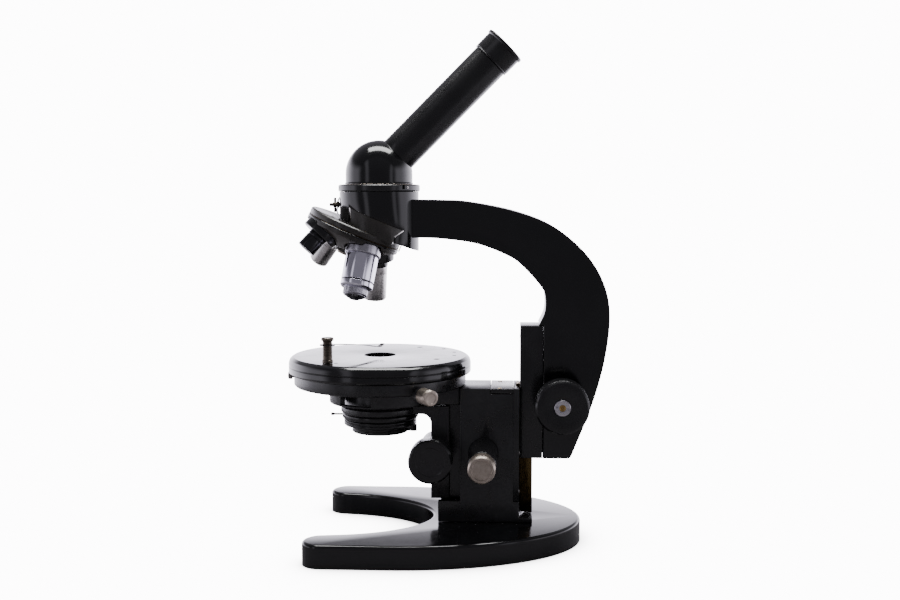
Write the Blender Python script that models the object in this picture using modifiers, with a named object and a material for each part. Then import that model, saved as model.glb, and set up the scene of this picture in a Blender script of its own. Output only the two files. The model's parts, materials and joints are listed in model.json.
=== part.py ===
"""Inclined monocular compound microscope on a horseshoe foot.

The sizes below are millimetres; the mesh helpers turn them into Blender's metres. X and Y are
measured from the optical axis (X towards the limb, -Y towards the observer's left), and Z is the
height above the table. The empty `optical_axis_foot` then puts the middle of the whole instrument
on the world's origin. Frames on the tilted axes (turret, objectives, eyepiece tube, spindles)
are empties as well, and the pieces that turn about them are built along their local Z.
"""

import math

import bmesh
import bpy
from mathutils import Matrix, Vector

MM = 0.001
GAP = 0.3                     # air between neighbouring pieces

# ---- foot and pillar
OPTIC_X = -44.95              # the optical axis, measured from the middle of the instrument
BASE_TOP = 15.0
BASE_REAR = 134.8
BASE_HALF = 74.0
BASE_MID_X = 10.0             # where the rear curve starts
TIP_X, TIP_Y, TIP_R = -31.0, 62.0, 12.0
MOUTH_X, MOUTH_HALF, NOTCH_X = -40.0, 50.0, 35.4
PILLAR_X0, PILLAR_X1 = 54.6, 89.6
PILLAR_HALF = 18.2
PILLAR_TOP = 104.4
PLINTH_X0, PLINTH_X1, PLINTH_TOP = 40.0, 93.6, 29.0
HEEL_X, HEEL_TOP = 102.3, 18.2

# ---- focusing
FINE_X, FINE_Z = 70.0, 62.0
WEDGE_TOP, WEDGE_SLOPE = 70.0, 0.2
SLIDE_FOOT, SLIDE_TOP = 19.6, 106.0
COARSE_X, COARSE_Z = 120.5, 97.0
COARSE_MODULE, COARSE_TEETH = 1.0, 14
SUBSTAGE_X, SUBSTAGE_Z = 36.4, 60.5
SUBSTAGE_MODULE, SUBSTAGE_TEETH = 0.8, 14
BACKLASH = 0.2
PRESSURE_ANGLE = math.radians(20)

# ---- limb and head
LIMB_HALF = 13.0
LIMB_FRONT_X = 109.1
LIMB_FOOT = 57.2
BLOCK_X0, BLOCK_X1, BLOCK_HALF = 93.9, 108.8, 12.2
BLOCK_FOOT, BLOCK_TOP, CHANNEL_TOP = 57.2, 145.3, 141.5
HEAD_R = 26.2
HEAD_TOP = 232.9
CLAMP_Z = 224.6
DOME_Z, DOME_R = 244.8, 22.15
TUBE_TILT = math.radians(45)
TUBE_END = 103.6              # from the dome's centre, along the tube
APEX_Z = 247.0                # where the turret's axis meets the optical axis
TURRET_TILT = math.radians(23)
TURRET_PARKED = -35.0         # degrees between a click stop and where the turret stands
SEAT = 53.05                  # from the apex to the objectives' seats
NOSE_TOP, NOSE_SPLIT = 38.75, 43.05
NOSE_R = 31.8
FLANK_X = 12.8                # the dovetail, measured from the turret's axis

# ---- stage and substage
STAGE_TOP, STAGE_FOOT, STAGE_R = 124.0, 113.0, 61.0
RING_TOP, RING_FOOT, RING_R, RING_BORE = 112.7, 104.7, 58.0, 50.0
SCREW_Z = 106.0
SCREW_AZIMUTH = 59
PLUNGER_Z = 109.7
TABLE_HOLES = ((23.7, 39, 1.9), (39.3, -19.1, 2.0), (41.2, 31, 1.6), (49.2, 14.7, 1.4), (50, -1.3, 1.4),
               (-23.7, -41, 1.5))
CLIP_X, CLIP_Y, CLIP_TOP = -29.0, -41.0, 140.6
CARRIER_TOP, CARRIER_FOOT, CARRIER_R = 90.7, 85.8, 26.4
SLEEVE_TOP, SLEEVE_R = 99.5, 24.2
SUBSTAGE_TOP = 91.5
FILTER_PIVOT_X = 22.3

for old in list(bpy.data.objects):
    bpy.data.objects.remove(old, do_unlink=True)

PARTS = bpy.data.collections.new("compound_microscope")
CUTTERS = bpy.data.collections.new("cutters")
bpy.context.scene.collection.children.link(PARTS)
bpy.context.scene.collection.children.link(CUTTERS)


# ---------------------------------------------------------------- materials
def new_material(name, colour, roughness, metallic=0.0):
    material = bpy.data.materials.new(name)
    material.use_nodes = True
    shader = material.node_tree.nodes["Principled BSDF"]
    shader.inputs["Base Color"].default_value = (*colour, 1.0)
    shader.inputs["Roughness"].default_value = roughness
    shader.inputs["Metallic"].default_value = metallic
    return material


ENAMEL = new_material("black_enamel", (0.010, 0.010, 0.012), 0.12)
SATIN = new_material("satin_black", (0.020, 0.020, 0.022), 0.38)
BRASS = new_material("tarnished_brass", (0.20, 0.13, 0.05), 0.45, 1.0)
NICKEL = new_material("warm_nickel", (0.62, 0.57, 0.52), 0.32, 1.0)
CHROME = new_material("chrome", (0.75, 0.74, 0.78), 0.10, 1.0)
STEEL = new_material("steel", (0.42, 0.42, 0.43), 0.35, 1.0)
GLASS = new_material("lens_glass", (0.80, 0.86, 0.90), 0.02)


# ---------------------------------------------------------------- frames and objects
def frame(name, parent, location, rotation=(0.0, 0.0, 0.0)):
    """An empty that carries pieces; its location is in millimetres in its parent's frame."""
    empty = bpy.data.objects.new(name, None)
    empty.location = Vector(location) * MM
    empty.rotation_euler = rotation
    empty.parent = parent
    empty.empty_display_size = 0.01
    PARTS.objects.link(empty)
    return empty


def link(name, mesh, material, parent, origin):
    """Make an object of a mesh drawn in its parent's frame, with its origin at the given point."""
    offset = Vector(origin) * MM
    mesh.transform(Matrix.Translation(-offset))
    piece = bpy.data.objects.new(name, mesh)
    piece.location = offset
    piece.parent = parent
    if material is None:
        CUTTERS.objects.link(piece)
        piece.hide_render = True
        piece.display_type = "WIRE"
    else:
        mesh.materials.append(material)
        PARTS.objects.link(piece)
    return piece


def finish_mesh(bm, name):
    for face in bm.faces:
        face.smooth = True
    mesh = bpy.data.meshes.new(name)
    bm.to_mesh(mesh)
    bm.free()
    mesh.set_sharp_from_angle(angle=math.radians(35))
    return mesh


def box(name, low, high, material=None, parent=None, origin=(0, 0, 0)):
    bm = bmesh.new()
    bmesh.ops.create_cube(bm, size=1.0)
    size = (Vector(high) - Vector(low)) * MM
    middle = (Vector(high) + Vector(low)) * (MM / 2)
    bmesh.ops.scale(bm, vec=size, verts=bm.verts)
    bmesh.ops.translate(bm, vec=middle, verts=bm.verts)
    return link(name, finish_mesh(bm, name), material, parent, origin)


def rod(name, start, end, radius, material=None, parent=None, origin=(0, 0, 0), sides=16):
    """A cylinder between two points."""
    start, end = Vector(start) * MM, Vector(end) * MM
    turn = (end - start).to_track_quat("Z", "Y").to_matrix().to_4x4()
    bm = bmesh.new()
    bmesh.ops.create_cone(
        bm,
        cap_ends=True,
        segments=sides,
        radius1=radius * MM,
        radius2=radius * MM,
        depth=(end - start).length,
        matrix=Matrix.Translation((start + end) / 2) @ turn,
    )
    return link(name, finish_mesh(bm, name), material, parent, origin)


def turned(name, profile, material=None, parent=None, steps=20, bored=False):
    """A turned piece about local Z. The profile is (radius, height) points, down the outer side.

    A bored profile is a closed loop; any other starts and ends on the axis.
    """
    count = len(profile)
    edges = [(i, i + 1) for i in range(count - 1)]
    if bored:
        edges.append((count - 1, 0))
    mesh = bpy.data.meshes.new(name)
    mesh.from_pydata([(r * MM, 0.0, z * MM) for r, z in profile], edges, [])
    piece = link(name, mesh, material, parent, (0, 0, 0))
    screw = piece.modifiers.new("turn", "SCREW")
    screw.axis = "Z"
    screw.angle = 2 * math.pi
    screw.steps = steps
    screw.render_steps = steps
    screw.use_merge_vertices = True
    screw.merge_threshold = 0.00001
    screw.use_smooth_shade = True
    return piece


EXTRUDE_TURN = {
    "Z": Matrix.Identity(4),
    "Y": Matrix.Rotation(math.radians(90), 4, "X"),
    "X": Matrix.Rotation(math.radians(90), 4, "Z") @ Matrix.Rotation(math.radians(90), 4, "X"),
}


def plate(name, outline, low, high, axis, material=None, parent=None, origin=(0, 0, 0)):
    """A flat outline made thick along an axis, from low to high.

    The outline's points are (x, y) for axis Z, (x, z) for axis Y and (y, z) for axis X.
    """
    curve = bpy.data.curves.new(name, "CURVE")
    curve.dimensions = "2D"
    curve.fill_mode = "BOTH"
    curve.extrude = (high - low) * MM / 2
    spline = curve.splines.new("POLY")
    spline.points.add(len(outline) - 1)
    spline.use_cyclic_u = True
    for point, (x, y) in zip(spline.points, outline):
        point.co = (x * MM, y * MM, 0.0, 1.0)
    guide = bpy.data.objects.new(name + "_outline", curve)
    CUTTERS.objects.link(guide)
    seen = guide.evaluated_get(bpy.context.evaluated_depsgraph_get())
    flat = bpy.data.meshes.new_from_object(seen)
    bpy.data.objects.remove(guide)
    bm = bmesh.new()
    bm.from_mesh(flat)
    bpy.data.meshes.remove(flat)
    bmesh.ops.remove_doubles(bm, verts=bm.verts, dist=0.000002)
    middle = (low + high) * MM / 2
    shift = {"X": (middle, 0, 0), "Y": (0, middle, 0), "Z": (0, 0, middle)}[axis]
    bm.transform(Matrix.Translation(shift) @ EXTRUDE_TURN[axis])
    bmesh.ops.recalc_face_normals(bm, faces=bm.faces)
    return link(name, finish_mesh(bm, name), material, parent, origin)


def rounded(piece, width, segments=2, angle=50):
    bevel = piece.modifiers.new("round", "BEVEL")
    bevel.width = width * MM
    bevel.segments = segments
    bevel.limit_method = "ANGLE"
    bevel.angle_limit = math.radians(angle)
    return piece


def boolean(piece, tool, operation):
    step = piece.modifiers.new(operation.lower(), "BOOLEAN")
    step.operation = operation
    step.solver = "EXACT"
    step.object = tool
    return piece


def cut(piece, *tools):
    for tool in tools:
        boolean(piece, tool, "DIFFERENCE")
    return piece


def join(piece, *tools):
    for tool in tools:
        boolean(piece, tool, "UNION")
    return piece


# ---------------------------------------------------------------- outlines
def arc(cx, cy, rx, ry, start, end, count):
    """Points of an elliptical arc, both ends included; the angles are in degrees."""
    points = []
    for i in range(count + 1):
        angle = math.radians(start + (end - start) * i / count)
        points.append((cx + rx * math.cos(angle), cy + ry * math.sin(angle)))
    return points


def smooth_through(points, per_span):
    """A Catmull-Rom curve through the points."""
    ends = [points[0]] + list(points) + [points[-1]]
    curve = []
    for i in range(len(points) - 1):
        p0, p1, p2, p3 = (Vector(p) for p in ends[i:i + 4])
        for k in range(per_span):
            t = k / per_span
            curve.append(tuple(
                0.5 * (2 * p1 + (p2 - p0) * t + (2 * p0 - 5 * p1 + 4 * p2 - p3) * t ** 2
                       + (3 * p1 - p0 - 3 * p2 + p3) * t ** 3)
            ))
    return curve + [tuple(points[-1])]


def mirrored(points):
    """Close a half outline with its mirror image in Y."""
    return list(points) + [(x, -y) for x, y in reversed(points)]


def rack_outline(pitch_x, back_x, low, high, phase, module, addendum, dedendum):
    """A toothed strip along Z whose teeth point from back_x to pitch_x, with a gap at phase."""
    side = math.copysign(1.0, pitch_x - back_x)
    pitch = math.pi * module
    half = (pitch / 2 - BACKLASH / 2) / 2
    half_root = half + dedendum * math.tan(PRESSURE_ANGLE)
    half_tip = half - addendum * math.tan(PRESSURE_ANGLE)
    root_x, tip_x = pitch_x - side * dedendum, pitch_x + side * addendum
    outline = [(back_x, high), (back_x, low), (root_x, low)]
    first = math.ceil((low + pitch / 2 - phase) / pitch - 0.5)
    last = math.floor((high - pitch / 2 - phase) / pitch - 0.5)
    for k in range(first, last + 1):
        z = phase + (k + 0.5) * pitch
        outline += [(root_x, z - half_root), (tip_x, z - half_tip)]
        outline += [(tip_x, z + half_tip), (root_x, z + half_root)]
    return outline + [(root_x, high)]


def pinion_outline(module, teeth, addendum, dedendum):
    """An involute spur gear about the origin, with a tooth at angle zero."""
    pitch_r = module * teeth / 2
    base_r = pitch_r * math.cos(PRESSURE_ANGLE)
    root_r, tip_r = pitch_r - dedendum, pitch_r + addendum

    def involute(radius):
        angle = math.acos(min(1.0, base_r / radius))
        return math.tan(angle) - angle

    thick = math.pi / (2 * teeth) - BACKLASH / (4 * pitch_r) + involute(pitch_r)
    flank = [root_r] + [base_r + (tip_r - base_r) * t for t in (0.0, 0.5, 1.0)]
    outline = []
    for tooth in range(teeth):
        middle = 2 * math.pi * tooth / teeth
        for side, radii in ((-1, flank), (1, flank[::-1])):
            for radius in radii:
                angle = middle + side * (thick - involute(radius))
                outline.append((radius * math.cos(angle), radius * math.sin(angle)))
    return outline


FOOT = frame("optical_axis_foot", None, (OPTIC_X, 0, 0))
SIDEWAYS = (math.radians(90), 0.0, 0.0)      # local Z points to -Y


# ---------------------------------------------------------------- foot and pillar
def build_base():
    """Cast horseshoe foot: a rounded rear, two legs with round tips and a deep notch."""
    mouth = math.degrees(math.acos((TIP_X - MOUTH_X) / (NOTCH_X - MOUTH_X)))
    outline = arc(BASE_MID_X, 0, BASE_REAR - BASE_MID_X, BASE_HALF, -90, 90, 26)
    outline += arc(TIP_X, TIP_Y, TIP_R, TIP_R, 90, 270, 8)
    outline += arc(MOUTH_X, 0, NOTCH_X - MOUTH_X, MOUTH_HALF, mouth, -mouth, 18)[1:-1]
    outline += arc(TIP_X, -TIP_Y, TIP_R, TIP_R, 90, 270, 8)
    base = plate("base", outline, 0.0, BASE_TOP, "Z", ENAMEL, FOOT)
    rounded(base, 2.2, 3)


def build_pillar():
    """Square pillar on its plinth, with the fine-focus chamber inside it."""
    side = PILLAR_HALF
    pillar = box("pillar", (PILLAR_X0, -side, 20), (PILLAR_X1, side, PILLAR_TOP), SATIN, FOOT)
    plinth = box("plinth", (PLINTH_X0, -side, BASE_TOP + GAP), (PLINTH_X1, side, PLINTH_TOP), None, FOOT)
    heel = box("heel", (90, -side, BASE_TOP + GAP), (HEEL_X, side, HEEL_TOP), None, FOOT)
    join(pillar, plinth, heel)
    well = box("substage_well", (39, -13.3, 15), (54.3, 13.3, 40), None, FOOT)
    chamber = box("chamber", (62, -13.5, 46), (86, 13.5, 100.6), None, FOOT)
    mouth = box("chamber_mouth", (76, -13.5, 99), (86, 13.5, 103), None, FOOT)
    ledge = box("cap_ledge", (74.4, -20, 101.1), (95, 20, 110), None, FOOT)
    slot = box("follower_slot", (84, -2.8, 68.8), (92, 2.8, 75.9), None, FOOT)
    bore = rod("spindle_bore", (FINE_X, -20, FINE_Z), (FINE_X, 20, FINE_Z), 3.3, None, FOOT)
    tongue = box("tongue_room", (91.2, -7.3, SLIDE_FOOT - 2), (95, 7.3, 35), None, FOOT)
    cut(pillar, well, chamber, mouth, ledge, slot, bore, tongue)
    rounded(box("pillar_cap", (74.7, -side, 101.4), (89.5, side, PILLAR_TOP), SATIN, FOOT), 0.3, 1)


def build_guide_plate():
    """Rear plate of the pillar, with the dovetail groove that the fine slide runs in."""
    half = [(89.9, PILLAR_HALF), (93.5, PILLAR_HALF), (93.5, 6.0), (91.4, 7.0)]
    guide = plate("guide_plate", mirrored(half), PLINTH_TOP + GAP, PILLAR_TOP, "Z", SATIN, FOOT)
    cut(guide, box("plate_slot", (89, -2.8, 68.8), (92, 2.8, 75.9), None, FOOT))


def build_substage_guide():
    half = [(54.3, 10.0), (47.6, 10.0), (47.6, 6.0), (44.6, 8.0)]
    plate("substage_guide", mirrored(half), PLINTH_TOP + 0.5, 92.5, "Z", SATIN, FOOT)
    pitch_x = SUBSTAGE_X + SUBSTAGE_MODULE * SUBSTAGE_TEETH / 2
    teeth = rack_outline(pitch_x, 44.3, 38, 72, SUBSTAGE_Z, SUBSTAGE_MODULE, 0.5, 0.9)
    plate("substage_rack", teeth, -3.5, 3.5, "Y", BRASS, FOOT)


# ---------------------------------------------------------------- fine focus
def build_fine_focus():
    """Spindle with a knob at each side; its nut is a wedge that lifts the slide's pin."""
    axis = frame("fine_axis", FOOT, (FINE_X, 0, FINE_Z), SIDEWAYS)
    rod("fine_spindle", (0, 0, -59.5), (0, 0, 59.5), 3.0, STEEL, axis)
    for name, side in (("near", 1), ("far", -1)):
        half = frame("fine_" + name, axis, (0, 0, 0), (0.0 if side > 0 else math.pi, 0.0, 0.0))
        boss = [(3.4, 56.0), (8.4, 56.0), (9.2, 55.0), (9.9, 22), (10.0, 18.5), (3.4, 18.5)]
        turned("fine_boss_" + name, boss, SATIN, half, 18, True)
        knob = [(0, 68.2), (7.9, 68.2), (8.7, 67.4), (8.7, 57.0), (8.1, 56.3), (3.4, 56.3), (3.4, 60), (0, 60)]
        turned("fine_knob_" + name, knob, NICKEL, half, 18)
    low, high = WEDGE_TOP - 7 * WEDGE_SLOPE, WEDGE_TOP + 7 * WEDGE_SLOPE
    outline = [(-7, 56.6), (7, 56.6), (7, high), (-7, low)]
    nut = plate("wedge_nut", outline, 65.5, 74.5, "X", BRASS, FOOT, (FINE_X, 0, FINE_Z))
    cut(nut, rod("nut_bore", (FINE_X, -10, FINE_Z), (FINE_X, 10, FINE_Z), 3.3, None, FOOT))
    lift = (2.0 + GAP) * math.sqrt(1 + WEDGE_SLOPE ** 2)
    pin_z = WEDGE_TOP + lift
    rod("follower_pin", (66, 0, pin_z), (91.4, 0, pin_z), 2.0, STEEL, FOOT, (FINE_X, 0, pin_z), 14)
    half = [(91.7, 6.5), (93.6, 5.7), (93.9, 6.2), (102.3, 9.0)]
    plate("fine_slide", mirrored(half), SLIDE_FOOT, SLIDE_TOP, "Z", BRASS, FOOT)


# ---------------------------------------------------------------- coarse focus
def build_coarse_focus():
    """Rack on the fine slide; pinion, knobs and their nuts turn in the limb."""
    pitch_x = COARSE_X - COARSE_MODULE * COARSE_TEETH / 2
    teeth = rack_outline(pitch_x, 102.6, 59.5, SLIDE_TOP, COARSE_Z, COARSE_MODULE, 0.7, 1.15)
    plate("coarse_rack", teeth, -4, 4, "Y", STEEL, FOOT)

    axis = frame("coarse_axis", FOOT, (COARSE_X, 0, COARSE_Z), SIDEWAYS)
    gear = pinion_outline(COARSE_MODULE, COARSE_TEETH, 0.9, 1.0)
    shaft = rod("pinion_shaft", (0, 0, -41.3), (0, 0, 41.3), 3.0, STEEL, axis)
    join(shaft, plate("coarse_gear", gear, -5, 5, "Z", None, axis))
    for name, side in (("near", 0.0), ("far", math.pi)):
        half = frame("coarse_" + name, axis, (0, 0, 0), (side, 0.0, 0.0))
        bush = [(3.4, 29.2), (10.5, 29.2), (11.5, 28.2), (12.0, 13.3), (3.4, 13.3)]
        turned("pinion_bush_" + name, bush, SATIN, half, 18, True)
        knob = [(5.5, 45.0), (16.5, 45.0), (17.2, 44.3), (17.2, 30.7), (16.5, 30.0),
                (3.4, 30.0), (3.4, 41.5), (5.5, 41.5)]
        turned("coarse_knob_" + name, knob, SATIN, half, 24, True)
        nut = [(2.3, 45.4), (4.8, 45.4), (5.15, 45.0), (5.15, 41.8), (2.3, 41.8)]
        turned("knob_nut_" + name, nut, NICKEL, half, 18, True)
        screw = [(0, 45.7), (1.3, 45.7), (2.0, 45.0), (2.0, 41.8), (0, 41.8)]
        turned("nut_screw_" + name, screw, BRASS, half, 12)


# ---------------------------------------------------------------- limb
def build_limb():
    """Curved limb: a flat-sided arch from the head back and down to the coarse focus."""
    outer = [(20, 228.0), (40, 227.8), (59.6, 226.7), (90.1, 220.6), (115.2, 210.5), (135.7, 193.4),
             (147.8, 174.2), (152.3, 153), (149.4, 124.2), (141.4, 93.8), (128.4, 60.0)]
    inner = [(106.1, 146.4), (109.7, 154.7), (110, 163.9), (107.5, 171), (95.2, 184.7), (84.9, 191.8),
             (64.7, 199.3), (40, 202.6), (20, 203.0)]
    outline = smooth_through(outer, 2)
    outline += [(126.2, LIMB_FOOT), (LIMB_FRONT_X, LIMB_FOOT), (LIMB_FRONT_X, 145.6), (106.1, 145.6)]
    outline += smooth_through(inner, 2)
    limb = plate("limb", outline, -LIMB_HALF, LIMB_HALF, "Y", ENAMEL, FOOT)
    rounded(limb, 4.0, 2, 60)
    head = rod("head_clearance", (0, 0, 180), (0, 0, 250), HEAD_R + GAP, None, FOOT, sides=44)
    slot = box("rack_slot", (100, -5.2, 40), (115.2, 5.2, 141), None, FOOT)
    pocket = rod("pinion_pocket", (COARSE_X, -6, COARSE_Z), (COARSE_X, 6, COARSE_Z), 8.6, None, FOOT)
    bore = rod("pinion_bore", (COARSE_X, -20, COARSE_Z), (COARSE_X, 20, COARSE_Z), 3.4, None, FOOT)
    cut(limb, head, slot, pocket, bore)


def build_slide_block():
    """Block on the limb's front, with the dovetail channel that rides on the fine slide."""
    block = box("slide_block", (BLOCK_X0, -BLOCK_HALF, BLOCK_FOOT), (BLOCK_X1, BLOCK_HALF, BLOCK_TOP),
                SATIN, FOOT)
    half = [(92.0, 6.0), (BLOCK_X0, 6.6), (102.6, 9.4), (102.6, 4.6), (110, 4.6)]
    cut(block, plate("channel", mirrored(half), 50, CHANNEL_TOP, "Z", None, FOOT))


def build_head():
    """Round head casting, cut off square to the turret's axis, and the clamp ring on top of it."""
    profile = [(17.4, HEAD_TOP), (HEAD_R, HEAD_TOP), (HEAD_R, 185), (12, 185), (12, 228.7), (17.4, 228.7)]
    head = turned("head_body", profile, ENAMEL, FOOT, 30, True)
    below = box("below_head", (-60, -40, -120), (60, 40, -NOSE_TOP + GAP), None, TURRET_AXIS)
    half = [(FLANK_X + 19.8, -28.85), (FLANK_X + 16.0, -34.85), (FLANK_X + 16.0, -46.85)]
    flanks = half + [(2 * FLANK_X - x, z) for x, z in reversed(half)]
    slot = plate("holder_slot", flanks, -30, 30, "Y", None, TURRET_AXIS)
    bore = rod("clamp_bore", (-30, 0, CLAMP_Z), (-19, 0, CLAMP_Z), 1.4, None, FOOT, sides=10)
    cut(head, below, slot, bore)
    ring = [(17.4, 237.8), (26.2, 237.8), (27.0, 237.0), (27.0, 233.2), (17.4, 233.2)]
    turned("clamp_ring", ring, ENAMEL, FOOT, 30, True)


# ---------------------------------------------------------------- nosepiece
def build_nosepiece():
    """Holder with its dovetail and top plate, the turret below it, and the screw it turns on."""
    disc = [(0, -NOSE_TOP), (NOSE_R - 0.6, -NOSE_TOP), (NOSE_R, -NOSE_TOP - 0.6),
            (NOSE_R, -NOSE_SPLIT), (0, -NOSE_SPLIT)]
    holder = turned("nosepiece_holder", disc, SATIN, TURRET_AXIS, 30)
    half = [(FLANK_X + 19.2, -29.15), (FLANK_X + 15.7, -34.75), (FLANK_X + 15.7, -39.85)]
    flanks = half + [(2 * FLANK_X - x, z) for x, z in reversed(half)]
    block = plate("holder_dovetail", flanks, -30, 30, "Y", None, TURRET_AXIS)
    boolean(block, rod("head_round", (0, 0, 180), (0, 0, 250), HEAD_R, None, FOOT, sides=36), "INTERSECT")
    light = rod("holder_light", (0, 0, 180), (0, 0, 240), 8.0, None, FOOT)
    bore = rod("holder_bore", (0, 0, -62), (0, 0, -32), 3.3, None, TURRET_AXIS)
    join(holder, block)
    cut(holder, light, bore)

    body = [(3.3, -NOSE_SPLIT - GAP), (32.0, -NOSE_SPLIT - GAP), (32.0, -47.05), (14.0, -55.85),
            (8.0, -56.45), (8.0, -58.55), (3.3, -58.55)]
    turret = turned("turret", body, SATIN, TURRET_AXIS, 30, True)
    screw = [(0, -33), (3.0, -33), (3.0, -58.85), (5.5, -58.85), (5.5, -59.85), (4.9, -60.35), (0, -60.35)]
    turned("turret_screw", screw, NICKEL, TURRET_AXIS, 14)
    box("click_spring", (32.3, -3, -44.6), (33.2, 3, -39.25), STEEL, TURRET_AXIS)
    return turret


def objective_profile(steps):
    """Up the bore of the mount and over its top, then down the steps outside it."""
    return [(0, -68), (4.4, -68), (4.4, -50.8), (7.6, -50.8), (7.6, -SEAT - GAP)] + [
        (radius, -distance) for radius, distance in steps]


OBJECTIVES = (
    # name, place on the turret, material, steps (radius, distance from the apex)
    ("objective_low", 0, NICKEL, (
        (12.0, 53.35), (12.0, 61.0), (8.2, 61.0), (8.2, 65.4), (7.8, 65.4), (7.8, 88.5), (7.1, 89.2), (4.6, 89.2),
        (4.6, 88.2), (0, 88.2))),
    ("objective_immersion", 1, CHROME, (
        (11.6, 53.35), (11.6, 59.4), (10.7, 60.2), (10.6, 76.8), (10.3, 77.2), (10.6, 77.6),
        (10.6, 80.6), (9.6, 81.6), (8.0, 81.8), (8.0, 86.0), (7.2, 86.7), (2.9, 88.9),
        (1.2, 89.0), (1.0, 88.6), (0, 88.6))),
    ("objective_scan", 2, SATIN, (
        (12.3, 53.35), (12.3, 59.3), (6.4, 59.3), (6.4, 71.1), (6.0, 71.5), (4.2, 71.5), (4.2, 70.5), (0, 70.5))),
    ("objective_high", 3, NICKEL, (
        (12.3, 53.35), (12.3, 58.6), (6.6, 58.6), (6.6, 80.0), (5.9, 80.7), (3.0, 80.7), (2.8, 80.2), (0, 80.2))),
)


def build_objectives(turret):
    """Four objectives, each on its own axis through the apex, and the turret's four seats."""
    for name, place, material, steps in OBJECTIVES:
        azimuth = math.radians(TURRET_PARKED + 90 * place)
        axis = frame(name + "_axis", TURRET_AXIS, (0, 0, 0), (0.0, -TURRET_TILT, -azimuth))
        turned(name, objective_profile(steps), material, axis, 18)
        seat = rod(name + "_seat", (0, 0, -SEAT), (0, 0, -72), 12.9, None, axis, sides=24)
        bore = rod(name + "_bore", (0, 0, -32), (0, 0, -72), 7.9, None, axis)
        cut(turret, seat, bore)


def build_clamp_screw():
    """Small screw at the front of the head, with a cross pin, that clamps the nosepiece."""
    screw = rod("nosepiece_clamp", (-33.2, 0, CLAMP_Z), (-21, 0, CLAMP_Z), 1.1, NICKEL, FOOT, (0, 0, CLAMP_Z), 12)
    join(screw, rod("cross_pin", (-29.5, 0, CLAMP_Z - 5), (-29.5, 0, CLAMP_Z + 4.6), 0.9, None, FOOT, sides=10))
    join(screw, rod("clamp_collar", (-28.2, 0, CLAMP_Z), (-26.7, 0, CLAMP_Z), 2.2, None, FOOT, sides=12))


# ---------------------------------------------------------------- inclined head and eyepiece
def build_inclined_head():
    """Domed prism housing that turns on the head ring, the inclined tube and the eyepiece."""
    dome = [(0, DOME_Z + DOME_R)]
    dome += [(r, z) for r, z in arc(0, DOME_Z, DOME_R, DOME_R, 90, 0, 9)][1:]
    dome += [(DOME_R, 238.1), (17.0, 238.1), (17.0, 229.0), (0, 229.0)]
    housing = turned("prism_housing", dome, ENAMEL, FOOT, 26)
    hollow = rod("housing_light", (0, 0, 220), (0, 0, 246), 12.5, None, FOOT, sides=24)
    room = rod("prism_room", (0, 0, -8), (0, 0, 16), 12.5, None, TUBE_AXIS, sides=24)
    socket = rod("tube_socket", (0, 0, 15.5), (0, 0, 40), 12.75, None, TUBE_AXIS, sides=24)
    cut(housing, hollow, room, socket)

    face = 7.5
    prism_outline = [(-face, DOME_Z - face), (face, DOME_Z - face), (face + 1.5, DOME_Z + 1.5),
                     (1.5, DOME_Z + face + 1.5), (-face, DOME_Z + 3.5)]
    plate("prism", prism_outline, -7, 7, "Y", GLASS, FOOT, (0, 0, DOME_Z))

    tube = [(11.85, TUBE_END), (12.45, TUBE_END), (12.45, 16.2), (11.85, 16.2)]
    turned("tube", tube, ENAMEL, TUBE_AXIS, 24, True)


def build_eyepiece():
    body = [(8.9, 118.6), (13.9, 118.6), (14.5, 118.0), (14.5, 116.2), (13.35, 115.8),
            (13.35, TUBE_END + GAP), (11.55, TUBE_END + GAP), (11.55, 70.0), (10.1, 70.0), (10.1, 110.0),
            (6.8, 111.0), (6.8, 116.5)]
    turned("eyepiece_body", body, SATIN, TUBE_AXIS, 24, True)
    lens = [(0, 115.4), (4, 115.1), (6.5, 114.2), (6.5, 112.0), (0, 112.0)]
    turned("eye_lens", lens, GLASS, TUBE_AXIS, 16)
    lens = [(0, 75.5), (9.8, 75.5), (9.8, 74.0), (5, 72.4), (0, 72.0)]
    turned("field_lens", lens, GLASS, TUBE_AXIS, 16)


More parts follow.
